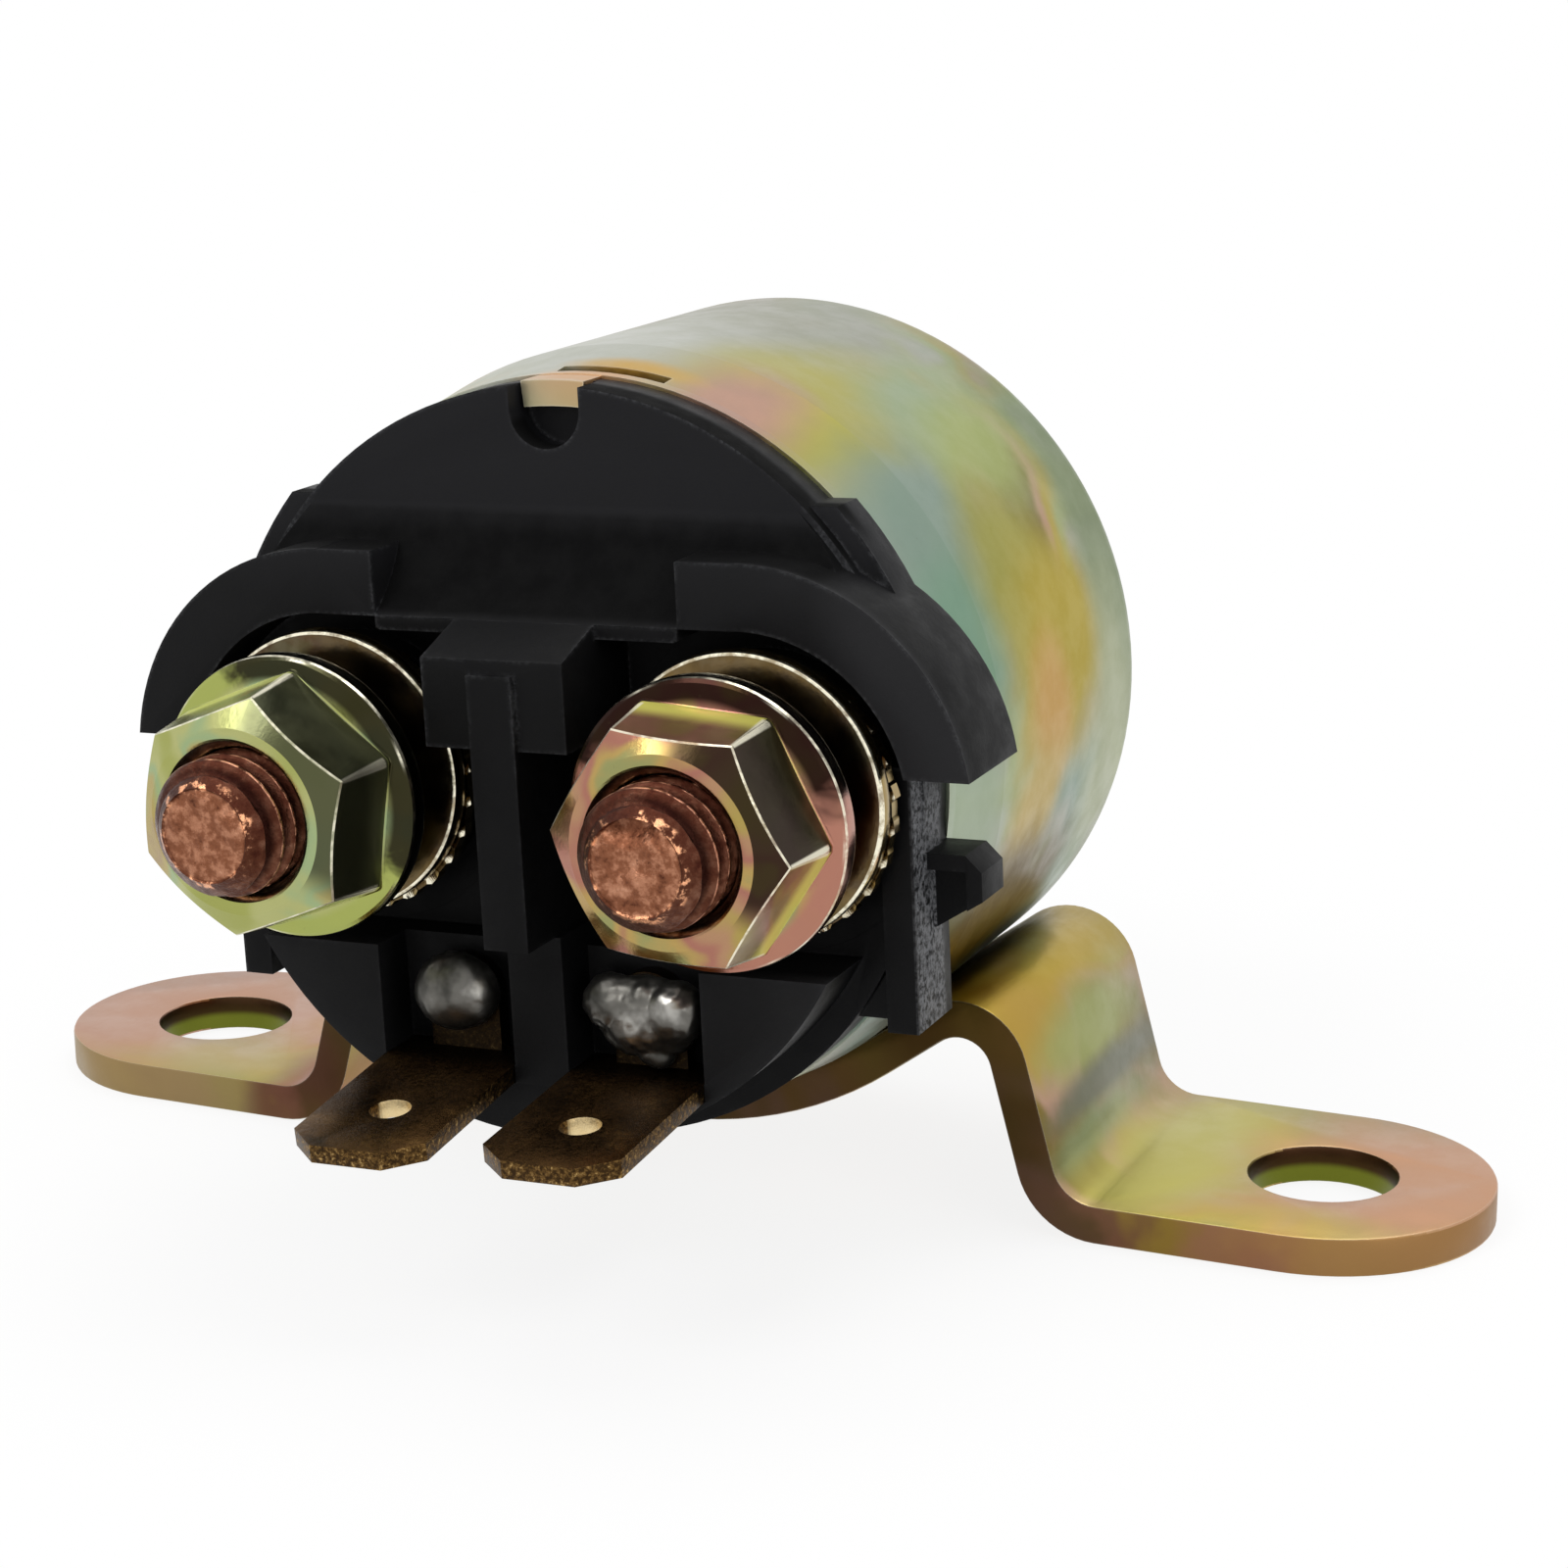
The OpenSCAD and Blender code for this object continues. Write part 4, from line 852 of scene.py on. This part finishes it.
class NutShape:
    """A flange nut's surface: radii and heights at an angle about its stud."""

    def __init__(self, turn):
        self.turn = turn

    def ring(self, radius, height):
        return ring(radius, height, NUT_SIDES, self.turn)

    def hexagon(self, angle, narrower=0.0):
        corner = math.radians(60)
        off = (angle - self.turn + corner / 2) % corner - corner / 2
        # the flats lie half way between two corners
        off = corner / 2 - abs(off)
        return min((NUT_FLAT_R - narrower) / math.cos(off), NUT_CORNER_R - narrower)

    def front(self, angle):
        return self.hexagon(angle, NUT_TAPER)

    def foot(self, angle):
        return min(self.hexagon(angle) + NUT_FILLET, NUT_FLANGE_R - 2.6 * NUT_ROUND)

    def cone_height(self, radius):
        share = (NUT_FLANGE_R - radius) / (NUT_FLANGE_R - NUT_FLAT_R)
        dome = NUT_DOME * math.sin(math.pi * min(1, max(0, share)))
        return NUT_LOW + NUT_FLANGE_T + NUT_CONE * share + dome

    def chamfer_height(self, angle):
        return NUT_HIGH - (self.front(angle) - NUT_FACE_R) * math.tan(math.radians(30))

    def back(self):
        """The flat back and the rounded rim of the flange."""
        rim_high = NUT_LOW + NUT_FLANGE_T
        return [self.ring(radius, height) for radius, height in (
            (NUT_BORE_R, NUT_LOW),
            (NUT_FLANGE_R - 2 * NUT_ROUND, NUT_LOW),
            (NUT_FLANGE_R - 0.3 * NUT_ROUND, NUT_LOW + 0.6 * NUT_ROUND),
            (NUT_FLANGE_R, NUT_LOW + 2 * NUT_ROUND),
            (NUT_FLANGE_R, rim_high - 2 * NUT_ROUND),
            (NUT_FLANGE_R - 0.6 * NUT_ROUND, rim_high - 0.3 * NUT_ROUND),
        )]

    def cone(self, share):
        """A ring on the flange's cone, at a share of the way from its rim to the hexagon's foot."""
        rim = NUT_FLANGE_R - 1.5 * NUT_ROUND

        def reach(angle):
            return rim + (self.foot(angle) - rim) * share
        return self.ring(reach, lambda angle: self.cone_height(reach(angle)))

    def fillet(self, bend):
        """A ring on the fillet round the hexagon's foot, at an angle of its quarter circle."""
        def reach(angle):
            return self.foot(angle) - (self.foot(angle) - self.hexagon(angle)) * math.sin(bend)

        def rise(angle):
            width = self.foot(angle) - self.hexagon(angle)
            return self.cone_height(self.foot(angle)) + width * (1 - math.cos(bend))
        return self.ring(reach, rise)

    def chamfer(self):
        """The rounded edge between the flats and the chamfer."""
        return [
            self.ring(self.front, lambda angle: self.chamfer_height(angle) - NUT_ROUND),
            self.ring(
                lambda angle: self.front(angle) - 0.8 * NUT_ROUND,
                lambda angle: self.chamfer_height(angle) + 0.2 * NUT_ROUND,
            ),
        ]

    def face(self):
        """The flat front face and its countersink."""
        return [self.ring(radius, height) for radius, height in (
            (NUT_FACE_R + 0.05 * MM, NUT_HIGH - 0.03 * MM),
            (NUT_FACE_R - 0.08 * MM, NUT_HIGH),
            (NUT_SINK_R + 0.10 * MM, NUT_HIGH),
            (NUT_SINK_R, NUT_HIGH - 0.03 * MM),
            (NUT_SINK_R - 0.08 * MM, NUT_HIGH - 0.14 * MM),
            (NUT_BORE_R + 0.03 * MM, NUT_HIGH - NUT_SINK),
        )]

    def rings(self):
        cone = [self.cone(share) for share in (0.1, 0.4, 0.7, 1.0)]
        fillet = [self.fillet(math.radians(15 * step)) for step in range(1, 7)]
        return self.back() + cone + fillet + self.chamfer() + self.face()


def flange_nut(side):
    """A hexagon flange nut: a tapering hexagon with a chamfered front, on a domed flange."""
    rings = NutShape(math.radians(NUT_TURNS[side])).rings()
    made = ring_mesh(f"flange_nut_{side}_shape", rings, stud_place(side))
    shade(made, 14)
    return place(made, f"flange_nut_{side}", f"plated_nut_{side}")


def thread_radius(height, angle):
    """Radius of the stud at a height and an angle: a 60 degree thread with a flat crest and a round root."""
    turn = (height / THREAD_PITCH - angle / (2 * math.pi)) % 1.0
    rise = abs(2 * turn - 1)
    # shares of the pitch
    crest, root = 0.16, 0.20
    share = min(1.0, max(0.0, (rise - crest) / (1 - crest - root)))
    share = share * share * (3 - 2 * share) * 0.4 + share * 0.6
    return STUD_R - 0.02 * MM - THREAD_DEPTH * share


def stud_end(side):
    """Rings on a stud's sawn end: slightly domed, uneven, and chipped on the right."""
    end_r = STUD_R - STUD_CHAMFER
    seed = Vector((11.0 * SIDES[side], 3.0, 0.0))

    def height(angle, share):
        at = Vector((end_r * share * math.cos(angle), end_r * share * math.sin(angle), 0)) / MM
        dome = 0.10 * MM * (1 - share ** 4)
        swell = 0.16 * MM * noise.noise(at * 0.9 + seed) * (0.3 + 0.7 * (1 - share ** 6))
        near = max(0.0, 1 - (at - CHIP_CENTRE).length / CHIP_REACH)
        return STUD_TIP - 0.14 * MM + dome + swell - CHIP_DEPTH[side] * min(1.0, 2.5 * near)

    return [
        ring(end_r * share, lambda angle: height(angle, share), STUD_SIDES)
        for share in (1.0, 0.94, 0.86, 0.76, 0.66, 0.56, 0.44, 0.32, 0.2, 0.1, 0.01)
    ]


def stud(side):
    """A stud with its contact head inside the cap, a plain neck, a rolled thread and a rough sawn end."""
    rings = [ring(radius, height, STUD_SIDES) for radius, height in (
        (0.02 * MM, HEAD_LOW), (HEAD_R - HEAD_ROUND, HEAD_LOW),
        (HEAD_R, HEAD_LOW + HEAD_ROUND), (HEAD_R, HEAD_HIGH - HEAD_ROUND),
        (HEAD_R - HEAD_ROUND, HEAD_HIGH), (STUD_R, HEAD_HIGH),
        (STUD_R, THREAD_LOW - THREAD_RUNOUT),
    )]
    height = THREAD_LOW
    while height < STUD_TIP - 0.02 * MM:
        chamfer = STUD_R + min(0.0, STUD_TIP - STUD_CHAMFER - height)
        rings.append(ring(lambda angle: min(chamfer, thread_radius(height, angle)), height, STUD_SIDES))
        height += THREAD_PITCH / 14
    made = ring_mesh(f"stud_{side}_shape", rings + stud_end(side), stud_place(side), closed=False)
    shade(made, 50)
    return place(made, f"stud_{side}", "stud_copper")


def plain_washer(side):
    """A flat washer with its front edge rounded."""
    edge = WASHER_ROUND
    rings = [ring(radius, height, 120) for radius, height in (
        (WASHER_BORE_R, WASHER_LOW), (WASHER_R - edge, WASHER_LOW),
        (WASHER_R - 0.3 * edge, WASHER_LOW + 0.3 * edge),
        (WASHER_R, WASHER_LOW + edge), (WASHER_R, WASHER_HIGH - 1.2 * edge),
        (WASHER_R - 0.35 * edge, WASHER_HIGH - 0.35 * edge), (WASHER_R - 1.2 * edge, WASHER_HIGH),
        (WASHER_BORE_R, WASHER_HIGH),
    )]
    slipped = Matrix.Translation(WASHER_SLIP[side])
    made = ring_mesh(f"plain_washer_{side}_shape", rings, stud_place(side) @ slipped)
    shade(made, 40)
    return place(made, f"plain_washer_{side}", "plated_washers")


def lock_washer(side):
    """A toothed washer: each tooth is twisted a little out of the ring's plane."""
    sides = LOCK_TEETH * 12
    root_r = LOCK_R - LOCK_TOOTH
    inner_r = root_r - 0.2 * MM
    middle = (LOCK_LOW + LOCK_HIGH) / 2
    half = 0.30 * MM
    twist = LOCK_HIGH - middle - half

    def tooth(angle):
        share = (angle * LOCK_TEETH / (2 * math.pi)) % 1.0
        return 1.0 if 0.17 < share < 0.75 else 0.0

    def slope(angle):
        share = (angle * LOCK_TEETH / (2 * math.pi)) % 1.0
        return (share - 0.46) / 0.29 * tooth(angle)

    def outer(angle):
        return root_r + (LOCK_R - root_r) * tooth(angle)

    rings = [
        ring(LOCK_BORE_R, middle - half, sides),
        ring(inner_r, middle - half, sides),
        ring(outer, lambda angle: middle - half + twist * slope(angle), sides),
        ring(outer, lambda angle: middle + half + twist * slope(angle), sides),
        ring(inner_r, middle + half, sides),
        ring(LOCK_BORE_R, middle + half, sides),
    ]
    made = ring_mesh(f"lock_washer_{side}_shape", rings, stud_place(side) @ Matrix.Translation(LOCK_SLIP))
    shade(made, 30)
    return place(made, f"lock_washer_{side}", "plated_washers")


def own_shape(node):
    """A copy of a node's own mesh."""
    made = nodes[node].copy()
    made.data = nodes[node].data.copy()
    made.name = f"{node}_shape"
    made.parent = None
    for key in [k for k in made.keys() if k.startswith("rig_")]:
        del made[key]
    bpy.context.scene.collection.objects.link(made)
    return made


def spring(node):
    """A spring's own shape, smooth-shaded and placed with its body."""
    made = own_shape(node)
    made.data.shade_smooth()
    made = place(made, node, "spring_steel")
    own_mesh(made)
    return made


def bevelled(node, slot, width, segments=2):
    """A node's own shape with its edges rounded."""
    made = own_shape(node)
    shaped = bmesh.new()
    shaped.from_mesh(made.data)
    bmesh.ops.remove_doubles(shaped, verts=shaped.verts, dist=SAME_POINT)
    bmesh.ops.dissolve_limit(shaped, angle_limit=SAME_FACE, verts=shaped.verts, edges=shaped.edges)
    shaped.to_mesh(made.data)
    shaped.free()
    rounding = made.modifiers.new("rounding", "BEVEL")
    rounding.width = width
    rounding.segments = segments
    rounding.limit_method = "ANGLE"
    rounding.angle_limit = math.radians(SHARP_EDGE)
    rounding.miter_outer = "MITER_ARC"
    rounding.use_clamp_overlap = True
    apply_modifiers(made)
    made.data.attributes.active = None
    shade(made, SHARP_EDGE)
    return place(made, node, slot)


def apply_modifiers(piece):
    """Gives a piece the mesh that its modifiers make."""
    graph = bpy.context.evaluated_depsgraph_get()
    done = bpy.data.meshes.new_from_object(piece.evaluated_get(graph))
    piece.modifiers.clear()
    piece.data = done


def lumps(name, balls):
    """Balls at their centres, with a radius for each axis."""
    shaped = bmesh.new()
    for centre, radii in balls:
        at = Matrix.Translation(Vector(centre) * MM) @ Matrix.Diagonal((*[r * MM for r in radii], 1.0))
        bmesh.ops.create_icosphere(shaped, subdivisions=4, radius=1.0, matrix=at)
    mesh = bpy.data.meshes.new(name)
    shaped.to_mesh(mesh)
    shaped.free()
    return add_object(name, mesh)


def wrinkle(piece, depth, seed):
    """Waves in a lump's skin, cut off at the lump's own floor."""
    for vertex in piece.data.vertices:
        at = vertex.co / MM
        swell = noise.noise(at * 0.8 + seed) + 0.5 * noise.noise(at * 2.2 + seed)
        vertex.co += vertex.co.normalized() * depth * swell
        vertex.co.z = max(vertex.co.z, 0.0)


def solder_joint(side):
    """A frozen pool of solder: lumps joined into one skin, then wrinkled."""
    node = f"solder_joint_{side}"
    low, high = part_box(node)
    centre = MOUTH.inverted() @ ((low + high) / 2)
    low_z = centre.z - (high.y - low.y) / 2
    made = lumps(f"{node}_shape", SOLDER_LUMPS[side])
    skin = made.modifiers.new("skin", "REMESH")
    skin.mode = "VOXEL"
    skin.voxel_size = SOLDER_VOXEL
    smooth = made.modifiers.new("smooth", "SMOOTH")
    smooth.iterations = 5
    apply_modifiers(made)
    wrinkle(made, SOLDER_WRINKLE[side], Vector((0, 0, 7 * SIDES[side])))
    made.data.transform(MOUTH @ Matrix.Translation((centre.x, centre.y, low_z)))
    shade(made, 60)
    return place(made, node, "solder")


def dress_nodes(shown):
    """The nodes that keep their own mesh get their slot's material."""
    slots = {s["node"]: s["material_slot"] for s in frame["record"]["subparts"]}
    for node, piece in nodes.items():
        if node not in shown:
            dress(piece, slots[node])
            piece.data.shade_smooth()
            piece.data.set_sharp_from_angle(angle=math.radians(30))


def camera():
    """The photograph's camera, from its azimuth, elevation, roll and distance."""
    level = math.cos(CAMERA_ELEVATION)
    back = Vector((
        math.sin(CAMERA_AZIMUTH) * level, -math.cos(CAMERA_AZIMUTH) * level, math.sin(CAMERA_ELEVATION),
    ))
    right = (-back).cross(Vector((0, 0, 1))).normalized()
    up = right.cross(-back)
    turned = Matrix.Rotation(CAMERA_ROLL, 3, back)
    right, up = turned @ right, turned @ up
    data = bpy.data.cameras.new("camera")
    data.lens = CAMERA_LENS
    data.sensor_width = CAMERA_SENSOR
    data.clip_start = 0.005
    data.clip_end = 20
    made = add_object("camera", data)
    made.matrix_world = Matrix((
        (right.x, up.x, back.x, 0), (right.y, up.y, back.y, 0), (right.z, up.z, back.z, 0), (0, 0, 0, 1),
    ))
    made.location = CAMERA_TARGET + back * CAMERA_DISTANCE
    bpy.context.scene.camera = made


def lamp(name, place, size, power):
    """A round soft lamp, aimed at the object."""
    data = bpy.data.lights.new(name, "AREA")
    data.shape = "DISK"
    data.size = size
    data.energy = power
    made = add_object(name, data)
    made.location = place
    aim = Vector(LAMP_TARGET) - Vector(place)
    made.rotation_euler = aim.to_track_quat("-Z", "Y").to_euler()


def combined(tree, operation, a, b):
    """A number made from two others in a node tree."""
    made = tree.nodes.new("ShaderNodeMath")
    made.operation = operation
    tree.links.new(a, made.inputs[0])
    tree.links.new(b, made.inputs[1])
    return made.outputs[0]


def seen_as_white(tree):
    """1 for the rays that look straight, or by a reflection, at the backdrop."""
    rays = tree.nodes.new("ShaderNodeLightPath").outputs
    either = combined(tree, "MAXIMUM", rays["Is Camera Ray"], rays["Is Glossy Ray"])
    return combined(tree, "MAXIMUM", either, rays["Is Transmission Ray"])


def room():
    """A white room, a little less bright where it lights dull surfaces."""
    world = bpy.data.worlds.new("world")
    bpy.context.scene.world = world
    world.use_nodes = True
    tree = world.node_tree
    backdrop = tree.nodes["Background"]
    backdrop.inputs["Color"].default_value = WHITE
    strength = tree.nodes.new("ShaderNodeMapRange")
    strength.inputs["To Min"].default_value = ROOM_LIGHT
    strength.inputs["To Max"].default_value = 1.0
    tree.links.new(seen_as_white(tree), strength.inputs["Value"])
    tree.links.new(strength.outputs["Result"], backdrop.inputs["Strength"])


def floor_material():
    """Pale, turning to the backdrop's white away from the object, so that only the near shadow shows."""
    g = Graph("floor")
    away = g.vector("LENGTH", g.node("ShaderNodeTexCoord").outputs["Object"])
    fade = g.span(away, SHADOW_NEAR, SHADOW_FAR, SHADOW_FAINT, 1.0)
    diffuse = g.node("ShaderNodeBsdfDiffuse")
    g.put(diffuse.inputs["Color"], FLOOR_COLOUR)
    white = g.node("ShaderNodeEmission")
    g.put(white.inputs["Color"], WHITE)
    mixed = g.node("ShaderNodeMixShader")
    g.put(mixed.inputs[0], g.times(seen_as_white(g.tree), fade))
    g.put(mixed.inputs[1], diffuse.outputs[0])
    g.put(mixed.inputs[2], white.outputs[0])
    g.put(g.output.inputs["Surface"], mixed.outputs[0])
    return g.material


def studio():
    """A plain white studio: the room, a floor with a soft shadow, and three soft lamps."""
    room()
    corners = [(-1, -1), (1, -1), (1, 1), (-1, 1)]
    points = [(x * FLOOR_REACH, y * FLOOR_REACH, 0) for x, y in corners]
    floor = mesh_object("floor", points, [(0, 1, 2, 3)])
    floor.data.materials.append(floor_material())
    for name, settings in LAMPS.items():
        lamp(name, *settings)
    bpy.context.scene.view_settings.view_transform = "Standard"


camera()
studio()
shown = []
for side_name in SIDES:
    for make in (stud, flange_nut, plain_washer, lock_washer, solder_joint):
        shown += make(side_name)["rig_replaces"]
    shown += bevelled(f"spade_terminal_{side_name}", "blade_brass", BLADE_ROUND)["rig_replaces"]
shown += bevelled("terminal_cap", "black_phenolic", CAP_ROUND, segments=3)["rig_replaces"]
shown += bevelled("mounting_bracket", "plated_bracket", BRACKET_ROUND)["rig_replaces"]
shown += spring("return_spring")["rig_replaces"]
shown += spring("contact_spring")["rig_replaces"]
dress_nodes(shown)
